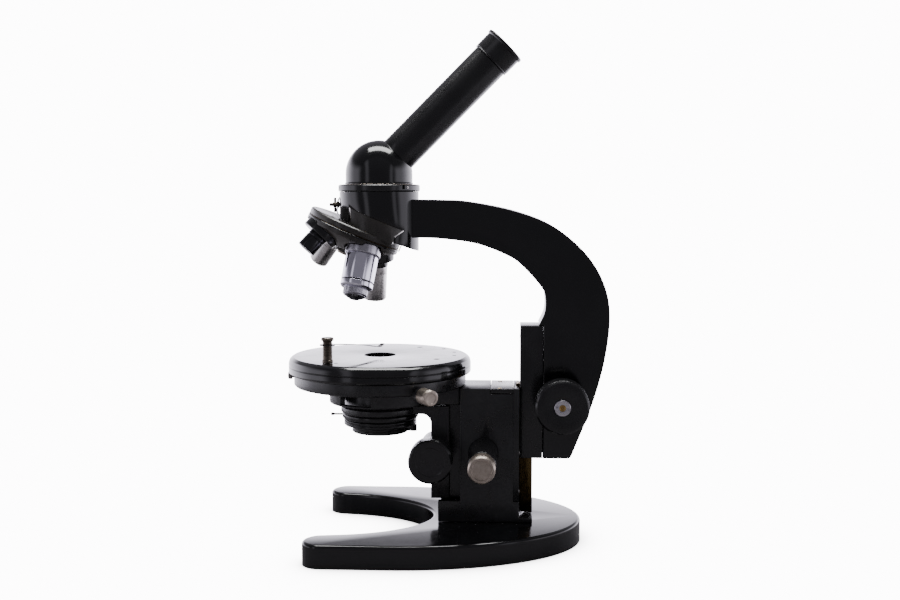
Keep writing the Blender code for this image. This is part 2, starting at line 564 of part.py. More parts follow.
# ---------------------------------------------------------------- stage
def build_stage():
    """Fixed ring on its arm, the centring rings inside it, and the round table that turns on top."""
    floor = RING_FOOT + 1.0
    section = [(RING_BORE, RING_TOP), (RING_R, RING_TOP), (RING_R, RING_FOOT), (34.0, RING_FOOT),
               (34.0, 92.8), (30.0, 92.8), (30.0, floor), (RING_BORE, floor)]
    bracket = turned("stage_bracket", section, SATIN, FOOT, 30, True)
    arm = box("stage_arm", (31.0, -14, 92.8), (54.3, 14, 105.2), None, FOOT)
    opening = [(0, 0)] + arc(0, 0, 60, 60, 226, 266, 3)
    window = plate("sleeve_window", opening, 94.0, 103.4, "Z", None, FOOT)
    join(bracket, arm)
    cut(bracket, window)
    for name, side in (("near", -1), ("far", 1)):
        azimuth = math.radians(side * SCREW_AZIMUTH)
        axis = frame("screw_axis_" + name, FOOT, (0, 0, SCREW_Z), (0.0, math.radians(90), azimuth))
        join(bracket, rod("boss_" + name, (0, 0, 54), (0, 0, 63), 4.7, None, axis, sides=18))
        cut(bracket, rod("screw_bore_" + name, (0, 0, 48.6), (0, 0, 70), 2.2, None, axis, sides=12))
        screw = [(0, 75.5), (4.6, 75.5), (5.1, 74.9), (5.1, 64.1), (4.6, 63.5), (1.9, 63.5),
                 (1.9, 50.3), (0, 49.7)]
        turned("centring_screw_" + name, screw, NICKEL, axis, 18)
    plunger_axis = frame("plunger_axis", FOOT, (0, 0, PLUNGER_Z), (0.0, math.radians(-90), 0.0))
    cut(bracket, rod("plunger_bore", (0, 0, 45), (0, 0, 70), 2.0, None, plunger_axis, sides=12))
    plunger = [(0, 62.4), (2.3, 62.4), (2.8, 61.9), (2.8, 59.9), (1.7, 59.9), (1.7, 50.3), (0, 49.8)]
    turned("spring_plunger", plunger, NICKEL, plunger_axis, 14)

    turned("centring_ring", [(33, 109.2), (48.4, 109.2), (48.4, floor + GAP), (33, floor + GAP)],
           BRASS, FOOT, 26, True)
    turned("bearing_ring", [(34, 112.7), (47.9, 112.7), (47.9, 109.5), (34, 109.5)], STEEL, FOOT, 26, True)
    table = [(10.5, STAGE_TOP), (STAGE_R - 3.0, STAGE_TOP), (STAGE_R - 0.8, STAGE_TOP - 1.6),
             (STAGE_R, STAGE_TOP - 4.5), (STAGE_R, STAGE_FOOT + 0.8), (STAGE_R - 0.8, STAGE_FOOT),
             (10.5, STAGE_FOOT)]
    table = turned("stage_plate", table, SATIN, FOOT, 40, True)
    cut(table, rod("clip_hole", (CLIP_X, CLIP_Y, 110), (CLIP_X, CLIP_Y, 130), 2.2, None, FOOT, sides=12))
    for i, (x, y, radius) in enumerate(TABLE_HOLES):
        cut(table, rod("table_hole_%d" % i, (x, y, 110), (x, y, 130), radius, None, FOOT, sides=10))


def build_clip():
    """Stage clip: a turned post that plugs into the table, and the spring arm on it."""
    here = (CLIP_X, CLIP_Y, 0)
    clip = frame("clip_axis", FOOT, here)
    post = [(0, CLIP_TOP), (3.6, CLIP_TOP), (4.0, CLIP_TOP - 0.5), (4.0, CLIP_TOP - 2.0), (3.1, CLIP_TOP - 2.6),
            (3.1, 126.0), (3.5, 125.4), (3.5, STAGE_TOP + GAP), (1.9, STAGE_TOP + GAP), (1.9, 115), (0, 115)]
    turned("clip_post", post, STEEL, clip, 14)
    reach = 66.0
    side_view = [(0, 136.2), (20, 134.2), (42, 131.2), (57, 128.4), (62, 128.0), (reach, 129.4)]
    top = smooth_through(side_view, 2)
    outline = top + [(x, z - 0.7) for x, z in reversed(top)]
    arm_axis = frame("clip_arm_axis", clip, (0, 0, 0), (0.0, 0.0, math.radians(64.2)))
    strip = plate("clip_arm", outline, -2.4, 2.4, "Y", STEEL, arm_axis)
    eye = rod("clip_eye", (0, 0, 135.2), (0, 0, 136.4), 4.9, None, arm_axis)
    join(strip, eye)
    cut(strip, rod("clip_eye_bore", (0, 0, 120), (0, 0, 140), 3.45, None, arm_axis))


# ---------------------------------------------------------------- substage
def build_substage():
    """Bracket on its dovetail guide, carrying the condenser in a round sleeve."""
    top = SUBSTAGE_TOP
    profile = [(47.3, 29.3), (47.3, top), (22.0, top), (22.0, 86.0), (29.0, 86.0)]
    profile += arc(29.0, 80.0, 6.0, 6.0, 90, 0, 5)[1:]
    profile += [(35.0, 29.3)]
    bracket = plate("substage_bracket", profile, -12, 12, "Y", SATIN, FOOT)
    ring = [(15, SLEEVE_TOP), (SLEEVE_R, SLEEVE_TOP), (SLEEVE_R, CARRIER_TOP), (CARRIER_R - 1.0, CARRIER_TOP),
            (CARRIER_R, CARRIER_TOP - 1.0), (CARRIER_R, CARRIER_FOOT + 0.8), (CARRIER_R - 0.8, CARRIER_FOOT),
            (15, CARRIER_FOOT)]
    sleeve = turned("carrier_sleeve", ring, None, FOOT, 26, True)
    x, z = SUBSTAGE_X, SUBSTAGE_Z
    barrel = rod("pinion_barrel", (x, -12, z), (x, 12, z), 9.5, None, FOOT, sides=24)
    bush = rod("pinion_sleeve", (x, -27.4, z), (x, -11, z), 6.5, None, FOOT)
    join(bracket, sleeve, barrel, bush)
    sleeve_bore = rod("sleeve_bore", (0, 0, 70), (0, 0, 103), 19.5, None, FOOT, sides=32)
    half = [(44.3, 8.5), (47.3, 6.4), (50, 6.4)]
    channel = plate("guide_channel", mirrored(half), 20, 95, "Z", None, FOOT)
    slot = box("rack_room", (40.9, -3.9, 20), (45, 3.9, 86), None, FOOT)
    pocket = rod("gear_room", (x, -3.9, z), (x, 3.9, z), 6.9, None, FOOT)
    bore = rod("shaft_bore", (x, -30, z), (x, 20, z), 2.5, None, FOOT, sides=12)
    cut(bracket, sleeve_bore, channel, slot, pocket, bore)

    axis = frame("substage_axis", FOOT, (x, 0, z), SIDEWAYS)
    shaft = rod("condenser_pinion", (0, 0, -11), (0, 0, 39), 2.2, STEEL, axis, sides=14)
    gear = pinion_outline(SUBSTAGE_MODULE, SUBSTAGE_TEETH, 0.7, 0.8)
    join(shaft, plate("condenser_gear", gear, -3.4, 3.4, "Z", None, axis))
    knob = [(0, 42.0), (13.4, 42.0), (14.2, 41.2), (14.2, 28.8), (13.4, 28.0), (2.5, 28.0), (2.5, 39.3), (0, 39.3)]
    turned("condenser_knob", knob, SATIN, axis, 24)


def build_condenser():
    """Condenser mount with its top lens, iris ring and swing-out filter holder."""
    mount = [(6.9, 119.6), (7.5, 119.2), (7.5, 104.4), (17.4, 98.0), (19.2, 96.0), (19.2, 81.7),
             (23.8, 81.7), (24.4, 81.1), (24.4, 77.3), (14.0, 77.3), (14.0, 90.0), (5.6, 101.0),
             (5.6, 117.0), (6.9, 117.0)]
    mount = turned("condenser_body", mount, SATIN, FOOT, 24, True)
    x = FILTER_PIVOT_X
    cut(mount, rod("pivot_hole", (x, 0, 70), (x, 0, 80.4), 1.5, None, FOOT, sides=10))
    lens = [(0, 120.6), (3.5, 120.2), (6.6, 118.8), (6.6, 117.3), (0, 117.3)]
    turned("condenser_lens", lens, GLASS, FOOT, 16)
    ring = [(19.5, 85.5), (24.7, 85.5), (25.5, 84.7), (25.5, 82.8), (24.7, 82.0), (19.5, 82.0)]
    iris = turned("iris_ring", ring, SATIN, FOOT, 24, True)
    join(iris, rod("iris_lever", (-23, 0, 83.4), (-33.6, 0, 83.4), 0.8, None, FOOT, sides=8))
    pivot = frame("filter_pivot", FOOT, (x, 0, 0))
    ring = [(16.0, 77.0), (18.2, 77.0), (19.0, 76.2), (19.0, 73.0), (18.2, 72.3), (14.0, 72.3),
            (14.0, 73.4), (16.0, 73.4)]
    holder = turned("filter_holder", ring, SATIN, pivot, 24, True)
    holder.location.x = -x * MM
    lug = rod("filter_lug", (0, 0, 72.6), (0, 0, 76.9), 2.5, None, pivot, sides=14)
    web = box("filter_web", (-5, -2.2, 72.8), (0, 2.2, 76.7), None, pivot)
    pin = rod("filter_pin", (0, 0, 76), (0, 0, 80), 1.2, None, pivot, sides=10)
    join(holder, web, lug, pin)


TURRET_AXIS = frame("turret_axis", FOOT, (0, 0, APEX_Z), (0.0, TURRET_TILT, 0.0))
TUBE_AXIS = frame("tube_axis", FOOT, (0, 0, DOME_Z), (0.0, TUBE_TILT, 0.0))

build_base()
build_pillar()
build_guide_plate()
build_substage_guide()
build_fine_focus()
build_coarse_focus()
build_limb()
build_slide_block()
build_head()
build_objectives(build_nosepiece())
build_clamp_screw()
build_inclined_head()
build_eyepiece()
build_stage()
build_clip()
build_substage()
build_condenser()
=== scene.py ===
import json
import math

import bmesh
import bpy
from mathutils import Matrix, Vector


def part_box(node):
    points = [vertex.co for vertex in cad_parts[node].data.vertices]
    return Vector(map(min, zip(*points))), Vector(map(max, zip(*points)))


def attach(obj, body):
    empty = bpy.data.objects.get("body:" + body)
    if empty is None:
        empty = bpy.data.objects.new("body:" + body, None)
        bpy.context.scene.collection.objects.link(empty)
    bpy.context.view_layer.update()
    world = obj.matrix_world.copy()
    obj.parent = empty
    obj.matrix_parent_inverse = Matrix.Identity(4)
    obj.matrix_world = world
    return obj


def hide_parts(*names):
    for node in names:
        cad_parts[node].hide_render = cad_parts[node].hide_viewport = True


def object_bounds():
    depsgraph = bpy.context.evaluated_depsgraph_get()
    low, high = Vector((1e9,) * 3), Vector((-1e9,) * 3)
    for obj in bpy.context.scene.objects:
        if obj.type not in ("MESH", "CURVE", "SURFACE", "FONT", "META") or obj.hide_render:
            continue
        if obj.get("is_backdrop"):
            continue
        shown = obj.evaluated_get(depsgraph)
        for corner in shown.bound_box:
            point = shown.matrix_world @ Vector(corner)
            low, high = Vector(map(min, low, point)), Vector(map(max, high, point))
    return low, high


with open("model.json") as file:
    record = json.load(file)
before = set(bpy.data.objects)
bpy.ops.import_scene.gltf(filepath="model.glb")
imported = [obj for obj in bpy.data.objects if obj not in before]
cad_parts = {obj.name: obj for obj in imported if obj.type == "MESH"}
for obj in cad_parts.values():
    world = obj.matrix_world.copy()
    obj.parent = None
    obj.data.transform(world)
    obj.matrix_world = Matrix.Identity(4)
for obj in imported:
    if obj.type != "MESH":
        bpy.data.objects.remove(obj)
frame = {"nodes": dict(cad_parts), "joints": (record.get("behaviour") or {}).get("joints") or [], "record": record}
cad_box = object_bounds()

# Sizes are millimetres in the instrument's own axes: the optical axis is x = y = 0, x points to
# the limb, -y to the observer, and z is the height above the table.
MM = 0.001
JOINTS = {joint["name"]: joint for joint in frame["joints"]}
OPTIC_X = JOINTS["tube_turn"]["pos_m"][0]
APEX_Z = JOINTS["turret_turn"]["pos_m"][2] / MM
DOME_Z = JOINTS["tube_turn"]["pos_m"][2] / MM
TURRET_TILT = 23       # degrees that the nosepiece's axis leans from the optical axis
TUBE_TILT = 45         # degrees that the observation tube leans
FIRST_PLACE = 35       # degrees of the first objective round the turret, at rest
SEAT = 53.05           # from the turret's apex to the objectives' seats
FLANK_X = 12.8         # the middle of the nosepiece's dovetail, from the turret's axis
PILLAR_HALF = 18.2     # half the pillar's width
LIMB_HALF = 13         # half the limb's thickness
HEAD_R = 26.2
DOME_R = 22.15
CLIP_SWING = 64.2      # degrees that the clip's arm points to at rest


# ---------------------------------------------------------------- frames
def at(x, y, z, *turns):
    """A rigid frame at a point in millimetres; each turn is (degrees, axis)."""
    matrix = Matrix.Translation((OPTIC_X + x * MM, y * MM, z * MM))
    for degrees, axis in turns:
        matrix = matrix @ Matrix.Rotation(math.radians(degrees), 4, axis)
    return matrix


UPRIGHT = at(0, 0, 0)
TURRET = at(0, 0, APEX_Z, (TURRET_TILT, "Y"))
TUBE = at(0, 0, DOME_Z, (TUBE_TILT, "Y"))


def side_frame(x, z, side):
    """Local Z points out of the near side (side -1) or the far side (side 1)."""
    return at(x, 0, z, (90 if side < 0 else -90, "X"))


def joint_point(name):
    x, y, z = JOINTS[name]["pos_m"]
    return (x - OPTIC_X) / MM, y / MM, z / MM


# ---------------------------------------------------------------- mesh helpers
def finish_object(name, bm, matrix, material, body, stands_for=(), sharp=32):
    bmesh.ops.recalc_face_normals(bm, faces=bm.faces)
    for face in bm.faces:
        face.smooth = True
    mesh = bpy.data.meshes.new(name)
    bm.to_mesh(mesh)
    bm.free()
    mesh.set_sharp_from_angle(angle=math.radians(sharp))
    piece = bpy.data.objects.new(name, mesh)
    bpy.context.scene.collection.objects.link(piece)
    piece.matrix_world = matrix
    if body is None:
        return piece
    mesh.materials.append(material)
    bpy.context.view_layer.update()
    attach(piece, body)
    for node in stands_for:
        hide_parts(node)
    return piece


def soften(profile, radius, closed):
    """Round the corners of a turned profile."""
    points = [Vector(p) for p in profile]
    count = len(points)
    out = []
    for i, here in enumerate(points):
        if not closed and i in (0, count - 1):
            out.append(here)
            continue
        before, after = points[i - 1] - here, points[(i + 1) % count] - here
        if before.length < 1e-6 or after.length < 1e-6:
            out.append(here)
            continue
        turn = math.pi - before.angle(after)
        if turn < math.radians(20):
            out.append(here)
            continue
        reach = min(radius * math.tan(turn / 2) + 0.02, before.length * 0.42, after.length * 0.42)
        start, end = here + before.normalized() * reach, here + after.normalized() * reach
        for t in (0.0, 0.33, 0.67, 1.0):
            out.append((1 - t) ** 2 * start + 2 * t * (1 - t) * here + t ** 2 * end)
    return [(p.x, p.y) for p in out]


def lathe_mesh(profile, steps, closed, ripple=None):
    """Spin (radius, height) points about Z. ripple(radius, height, angle) returns a new radius."""
    bm = bmesh.new()
    rings = []
    for radius, height in profile:
        if radius < 1e-5:
            rings.append([bm.verts.new((0, 0, height * MM))])
            continue
        ring = []
        for k in range(steps):
            angle = 2 * math.pi * k / steps
            r = ripple(radius, height, angle) if ripple else radius
            ring.append(bm.verts.new((r * MM * math.cos(angle), r * MM * math.sin(angle), height * MM)))
        rings.append(ring)
    pairs = list(zip(rings, rings[1:]))
    if closed:
        pairs.append((rings[-1], rings[0]))
    for upper, lower in pairs:
        for k in range(steps):
            n = (k + 1) % steps
            if len(upper) == 1 and len(lower) == 1:
                break
            if len(upper) == 1:
                bm.faces.new((upper[0], lower[n], lower[k]))
            elif len(lower) == 1:
                bm.faces.new((upper[k], upper[n], lower[0]))
            else:
                bm.faces.new((upper[k], upper[n], lower[n], lower[k]))
    return bm


def lathe(name, body, material, matrix, profile, replaces=(), steps=96, soft=0.3, closed=False,
          ripple=None):
    bm = lathe_mesh(soften(profile, soft, closed), steps, closed, ripple)
    return finish_object(name, bm, matrix, material, body, replaces)


def knurl(low, high, count, depth):
    """A ripple for straight knurling between two heights."""
    def ripple(radius, height, angle):
        if low < height < high:
            return radius - depth * (0.5 + 0.5 * math.cos(angle * count))
        return radius
    return ripple


def slab_mesh(outline, low, high, axis, round_by, segments=4, bottom_too=True):
    """Extrude an outline along an axis and round its rims."""
    bm = bmesh.new()
    place = {
        "X": lambda a, b, t: (t, a, b),
        "Y": lambda a, b, t: (a, t, b),
        "Z": lambda a, b, t: (a, b, t),
    }[axis]
    rims = []
    for level in (low, high):
        rims.append([bm.verts.new(Vector(place(a, b, level)) * MM) for a, b in outline])
    bm.faces.new(rims[0][::-1])
    bm.faces.new(rims[1])
    count = len(outline)
    for i in range(count):
        j = (i + 1) % count
        bm.faces.new((rims[0][i], rims[0][j], rims[1][j], rims[1][i]))
    bmesh.ops.recalc_face_normals(bm, faces=bm.faces)
    if round_by:
        top = set(rims[1]) | (set(rims[0]) if bottom_too else set())
        chosen = [e for e in bm.edges if e.verts[0] in top and e.verts[1] in top
                  and abs((e.verts[0].co - e.verts[1].co)["XYZ".index(axis)]) < 1e-7]
        bmesh.ops.bevel(bm, geom=chosen, offset=round_by * MM, segments=segments, profile=0.5,
                        affect="EDGES", clamp_overlap=True)
    return bm


def slab(name, body, material, outline, low, high, axis, replaces=(), round_by=0.4, segments=3,
         frame_at=None):
    bm = slab_mesh(outline, low, high, axis, round_by, segments)
    return finish_object(name, bm, frame_at or UPRIGHT, material, body, replaces)


def box_mesh(low, high, round_by=0.0, segments=3):
    bm = bmesh.new()
    bmesh.ops.create_cube(bm, size=1.0)
    size, middle = Vector(high) - Vector(low), (Vector(high) + Vector(low)) / 2
    bmesh.ops.scale(bm, vec=size * MM, verts=bm.verts)
    bmesh.ops.translate(bm, vec=middle * MM, verts=bm.verts)
    if round_by:
        bmesh.ops.bevel(bm, geom=list(bm.edges), offset=round_by * MM, segments=segments, profile=0.5,
                        affect="EDGES", clamp_overlap=True)
    return bm


def block(name, body, material, low, high, replaces=(), round_by=0.4, segments=3, frame_at=None):
    return finish_object(name, box_mesh(low, high, round_by, segments), frame_at or UPRIGHT, material, body,
                         replaces)


def tool(bm, frame_at=None):
    """A helper object that another piece is cut with or joined to; carve() removes it."""
    return finish_object("tool", bm, frame_at or UPRIGHT, None, None)


def cylinder_tool(frame_at, radius, low, high, steps=64):
    return tool(lathe_mesh([(0, high), (radius, high), (radius, low), (0, low)], steps, False), frame_at)


def carve(piece, tools, operation="DIFFERENCE", round_by=0.0, segments=2, sharp=32):
    """Apply Booleans, and then round the new edges."""
    for cutter in tools:
        step = piece.modifiers.new("carve", "BOOLEAN")
        step.operation = operation
        step.solver = "EXACT"
        step.object = cutter
    if round_by:
        bevel = piece.modifiers.new("edge", "BEVEL")
        bevel.width = round_by * MM
        bevel.segments = segments
        bevel.limit_method = "ANGLE"
        bevel.angle_limit = math.radians(38)
        bevel.harden_normals = False
    graph = bpy.context.evaluated_depsgraph_get()
    made = bpy.data.meshes.new_from_object(piece.evaluated_get(graph))
    piece.modifiers.clear()
    old, piece.data = piece.data, made
    bpy.data.meshes.remove(old)
    for face in made.polygons:
        face.use_smooth = True
        face.material_index = 0
    while len(made.materials) > 1:
        made.materials.pop()
    made.set_sharp_from_angle(angle=math.radians(sharp))
    for cutter in tools:
        bpy.data.objects.remove(cutter, do_unlink=True)
    return piece


# ---------------------------------------------------------------- outlines
def arc(cx, cy, rx, ry, start, end, count):
    points = []
    for i in range(count + 1):
        angle = math.radians(start + (end - start) * i / count)
        points.append((cx + rx * math.cos(angle), cy + ry * math.sin(angle)))
    return points


def spline(points, per_span):
    """A Catmull-Rom curve through the points."""
    ends = [points[0]] + list(points) + [points[-1]]
    curve = []
    for i in range(len(points) - 1):
        p0, p1, p2, p3 = (Vector(p) for p in ends[i:i + 4])
        for k in range(per_span):
            t = k / per_span
            curve.append(tuple(0.5 * (2 * p1 + (p2 - p0) * t + (2 * p0 - 5 * p1 + 4 * p2 - p3) * t ** 2
                                      + (3 * p1 - p0 - 3 * p2 + p3) * t ** 3)))
    return curve + [tuple(points[-1])]


def mirrored(points):
    return list(points) + [(x, -y) for x, y in reversed(points)]


class Shader:
    """A Principled material with short ways to add procedural detail."""

    def __init__(self, name, slot, colour, roughness, metallic=0.0):
        self.material = bpy.data.materials.new(name)
        self.material.use_nodes = True
        self.tree = self.material.node_tree
        self.main = self.tree.nodes["Principled BSDF"]
        self.main.inputs["Base Color"].default_value = (*colour, 1)
        self.main.inputs["Roughness"].default_value = roughness
        self.main.inputs["Metallic"].default_value = metallic
        self.coords = self.tree.nodes.new("ShaderNodeTexCoord").outputs["Object"]
        self.normal = None

    def link(self, value, socket):
        if hasattr(value, "is_output"):
            self.tree.links.new(value, socket)
        else:
            socket.default_value = value

    def math(self, operation, a, b=0.0, c=0.0, clamp=False):
        node = self.tree.nodes.new("ShaderNodeMath")
        node.operation = operation
        node.use_clamp = clamp
        for socket, value in zip(node.inputs, (a, b, c)):
            self.link(value, socket)
        return node.outputs[0]

    def stretched(self, x, y, z):
        node = self.tree.nodes.new("ShaderNodeMapping")
        self.tree.links.new(self.coords, node.inputs["Vector"])
        node.inputs["Scale"].default_value = (x, y, z)
        return node.outputs[0]

    def turned(self):
        """Coordinates that run around a turned piece's axis: radius, height and a little angle."""
        parts = self.tree.nodes.new("ShaderNodeSeparateXYZ")
        self.tree.links.new(self.coords, parts.inputs[0])
        x, y, z = parts.outputs
        radius = self.math("SQRT", self.math("ADD", self.math("MULTIPLY", x, x),
                                             self.math("MULTIPLY", y, y)))
        angle = self.math("ARCTAN2", y, x)
        join = self.tree.nodes.new("ShaderNodeCombineXYZ")
        self.link(radius, join.inputs[0])
        self.link(z, join.inputs[1])
        self.link(self.math("MULTIPLY", angle, 0.001), join.inputs[2])
        return join.outputs[0]

    def noise(self, scale, detail=4.0, roughness=0.55, vector=None, distortion=0.0):
        node = self.tree.nodes.new("ShaderNodeTexNoise")
        self.link(vector or self.coords, node.inputs["Vector"])
        node.inputs["Scale"].default_value = scale
        node.inputs["Detail"].default_value = detail
        node.inputs["Roughness"].default_value = roughness
        node.inputs["Distortion"].default_value = distortion
        return node.outputs["Fac"]

    def cells(self, scale, vector=None):
        node = self.tree.nodes.new("ShaderNodeTexVoronoi")
        self.link(vector or self.coords, node.inputs["Vector"])
        node.inputs["Scale"].default_value = scale
        return node.outputs["Distance"]

    def ramp(self, value, low, high, start=0.0, end=1.0):
        """Map low..high to start..end, smoothly and clamped."""
        node = self.tree.nodes.new("ShaderNodeMapRange")
        node.interpolation_type = "SMOOTHSTEP"
        self.link(value, node.inputs["Value"])
        for name, number in (("From Min", low), ("From Max", high), ("To Min", start), ("To Max", end)):
            node.inputs[name].default_value = number
        return node.outputs[0]

    def mix(self, factor, a, b):
        node = self.tree.nodes.new("ShaderNodeMix")
        node.data_type = "RGBA"
        self.link(factor, node.inputs[0])
        for socket, value in ((node.inputs[6], a), (node.inputs[7], b)):
            self.link((*value, 1) if isinstance(value, tuple) else value, socket)
        return node.outputs[2]

    def edges(self, width):
        """How strongly a point lies on an outer or inner edge."""
        rounded = self.tree.nodes.new("ShaderNodeBevel")
        rounded.samples = 6
        rounded.inputs["Radius"].default_value = width * MM
        geometry = self.tree.nodes.new("ShaderNodeNewGeometry")
        dot = self.tree.nodes.new("ShaderNodeVectorMath")
        dot.operation = "DOT_PRODUCT"
        self.tree.links.new(rounded.outputs[0], dot.inputs[0])
        self.tree.links.new(geometry.outputs["Normal"], dot.inputs[1])
        return self.ramp(dot.outputs["Value"], 0.995, 0.9)

    def bump(self, height, strength, distance):
        node = self.tree.nodes.new("ShaderNodeBump")
        node.inputs["Strength"].default_value = strength
        node.inputs["Distance"].default_value = distance * MM
        self.link(height, node.inputs["Height"])
        if self.normal is not None:
            self.link(self.normal, node.inputs["Normal"])
        self.normal = node.outputs[0]
        self.link(self.normal, self.main.inputs["Normal"])

    def set(self, **values):
        for name, value in values.items():
            socket = self.main.inputs[name.replace("_", " ")]
            if isinstance(value, tuple):
                value = (*value, 1)
            self.link(value, socket)
        return self


def enamel_material():
    """Stoved black enamel: glossy, with a faint unevenness, fine rub marks and a little dust."""
    s = Shader("enamel", "black_enamel", (0.004, 0.004, 0.005), 0.14)
    patches = s.noise(38, 5, 0.6)
    rubs = s.noise(900, 3, 0.6, s.stretched(1, 0.12, 0.5))
    dust = s.math("MULTIPLY", s.ramp(s.cells(1500), 0.13, 0.07), s.ramp(s.noise(160, 2), 0.62, 0.78))
    wear = s.math("MULTIPLY", s.edges(0.4), s.ramp(s.noise(420, 5, 0.7), 0.68, 0.74))
    colour = s.mix(s.ramp(patches, 0.35, 0.7), (0.0030, 0.0030, 0.0036), (0.0056, 0.0057, 0.0062))
    colour = s.mix(s.math("MULTIPLY", dust, 0.2), colour, (0.16, 0.16, 0.15))
    colour = s.mix(wear, colour, (0.10, 0.092, 0.08))
    s.set(Base_Color=colour)
    rough = s.math("ADD", s.ramp(patches, 0.3, 0.75, 0.12, 0.17), s.ramp(rubs, 0.60, 0.78, 0.0, 0.05))
    s.set(Roughness=s.math("MAXIMUM", rough, s.math("MULTIPLY", wear, 0.4)))
    s.set(Metallic=s.math("MULTIPLY", wear, 0.5))
    s.bump(s.noise(150, 1, 0.5), 0.03, 0.04)
    return s.material


def tube_material(name, slot):
    """Smooth black with a soft sheen, a little duller in patches."""
    s = Shader(name, slot, (0.005, 0.005, 0.006), 0.28)
    patches = s.noise(60, 5, 0.6)
    s.set(Base_Color=s.mix(s.ramp(patches, 0.35, 0.7), (0.0045, 0.0045, 0.0052), (0.0075, 0.0075, 0.0082)))
    s.set(Roughness=s.ramp(patches, 0.3, 0.75, 0.25, 0.31))
    s.bump(patches, 0.02, 0.02)
    return s.material


def satin_material(name="satin", base=(0.005, 0.005, 0.0055), rough=0.22, brassy=(0.20, 0.165, 0.11),
                   amount=0.72):
    """Black lacquer with a dull sheen, thin on the edges so that metal shows through."""
    s = Shader(name, "satin_black", base, rough)
    patches = s.noise(55, 6, 0.62)
    grain = s.noise(2600, 2, 0.5)
    rubs = s.noise(700, 4, 0.65, s.stretched(0.25, 1, 0.2))
    wear = s.math("MULTIPLY", s.edges(0.45), s.ramp(s.noise(330, 6, 0.72), amount, amount + 0.08))
    light = tuple(c * 1.7 + 0.002 for c in base)
    colour = s.mix(s.ramp(patches, 0.35, 0.7), base, light)
    dust = s.math("MULTIPLY", s.ramp(s.cells(1300), 0.14, 0.07), s.ramp(s.noise(190, 2), 0.52, 0.70))
    colour = s.mix(s.math("MULTIPLY", dust, 0.25), colour, (0.16, 0.16, 0.15))
    colour = s.mix(wear, colour, brassy)
    s.set(Base_Color=colour, Metallic=s.math("MULTIPLY", wear, 0.5))
    s.set(Roughness=s.math("ADD", s.ramp(patches, 0.3, 0.75, rough - 0.06, rough + 0.08),
                           s.ramp(rubs, 0.6, 0.8, 0.0, 0.10)))
    s.bump(grain, 0.06, 0.02)
    s.bump(patches, 0.04, 0.04)
    return s.material


def turned_metal(name, slot, light, dark, rough, lines=0.25, stain=0.35):
    """Lathe-turned metal: fine rings around the axis, with a hazy tarnish over them."""
    s = Shader(name, slot, light, rough, 1.0)
    rings = s.noise(5200, 3, 0.6, s.turned())
    broad = s.noise(900, 2, 0.5, s.turned())
    haze = s.noise(260, 5, 0.65)
    spots = s.math("MULTIPLY", s.ramp(s.cells(950), 0.16, 0.05), s.ramp(s.noise(240, 2), 0.55, 0.7))
    colour = s.mix(s.math("MULTIPLY", s.ramp(haze, 0.38, 0.72), stain), light, dark)
    colour = s.mix(s.math("MULTIPLY", spots, 0.6), colour, tuple(c * 0.4 for c in dark))
    s.set(Base_Color=colour)
    s.set(Roughness=s.math("ADD", s.ramp(rings, 0.3, 0.7, rough - 0.07, rough + 0.08),
                           s.ramp(haze, 0.45, 0.75, 0.0, 0.09)))
    s.bump(rings, lines, 0.02)
    s.bump(broad, lines * 0.6, 0.03)
    return s.material


def brass_strip_material():
    """Old lacquered brass: olive-brown, streaked along its length and darker towards the foot."""
    s = Shader("old_brass", "tarnished_brass", (0.20, 0.13, 0.05), 0.4, 1.0)
    parts = s.tree.nodes.new("ShaderNodeSeparateXYZ")
    s.tree.links.new(s.coords, parts.inputs[0])
    height = parts.outputs["Z"]
    streaks = s.noise(420, 5, 0.62, s.stretched(1, 1, 0.06))
    blots = s.noise(170, 6, 0.68, None, 0.6)
    colour = s.mix(s.ramp(streaks, 0.32, 0.68), (0.135, 0.088, 0.033), (0.27, 0.188, 0.074))
    colour = s.mix(s.math("MULTIPLY", s.ramp(blots, 0.5, 0.70), 0.5), colour, (0.060, 0.040, 0.020))
    low_part = s.ramp(s.math("ADD", height, s.math("MULTIPLY", blots, 0.012)), 0.040, 0.029)
    colour = s.mix(s.math("MULTIPLY", low_part, 0.8), colour, (0.022, 0.016, 0.010))
    s.set(Base_Color=colour, Roughness=s.ramp(blots, 0.3, 0.75, 0.26, 0.55))
    s.bump(streaks, 0.16, 0.03)
    return s.material


def glass_material():
    """Coated optical glass: a dark, faintly purple depth under a sharp reflection."""
    s = Shader("coated_glass", "lens_glass", (0.55, 0.60, 0.72), 0.03)
    haze = s.noise(300, 3, 0.6)
    s.set(Base_Color=s.mix(s.ramp(haze, 0.35, 0.7), (0.60, 0.66, 0.76), (0.52, 0.55, 0.72)))
    s.set(Roughness=s.ramp(haze, 0.4, 0.8, 0.015, 0.06), Transmission_Weight=0.85, IOR=1.52)
    return s.material


ENAMEL = enamel_material()
SATIN = satin_material()
LACQUER = satin_material("lacquer", (0.006, 0.006, 0.0065), 0.20, (0.34, 0.27, 0.14), 0.60)
CONE = satin_material("cone_lacquer", (0.022, 0.020, 0.017), 0.32, (0.38, 0.30, 0.16), 0.56)
TABLE_BLACK = satin_material("table_black", (0.004, 0.004, 0.0045), 0.11, (0.20, 0.165, 0.11), 0.74)
PILLAR_BLACK = satin_material("pillar_black", (0.0115, 0.0115, 0.012), 0.30)
TUBE_BLACK = tube_material("tube_black", "black_enamel")
MOUNT_BLACK = tube_material("mount_black", "satin_black")
NICKEL = turned_metal("nickel", "warm_nickel", (0.44, 0.385, 0.33), (0.24, 0.20, 0.155), 0.36)
NUT_GREY = turned_metal("nut_nickel", "warm_nickel", (0.60, 0.585, 0.62), (0.38, 0.37, 0.39), 0.30, 0.1)
# Bright nickel used only for thin pieces that stand in for highlights: painted highlights on the dovetail flanks
# and a painted glint on the clip's tip.
PAINTED_HIGHLIGHT_NICKEL = turned_metal("painted_highlight_nickel", "warm_nickel", (0.72, 0.70, 0.68), (0.42, 0.39, 0.36), 0.19,
                             0.15)
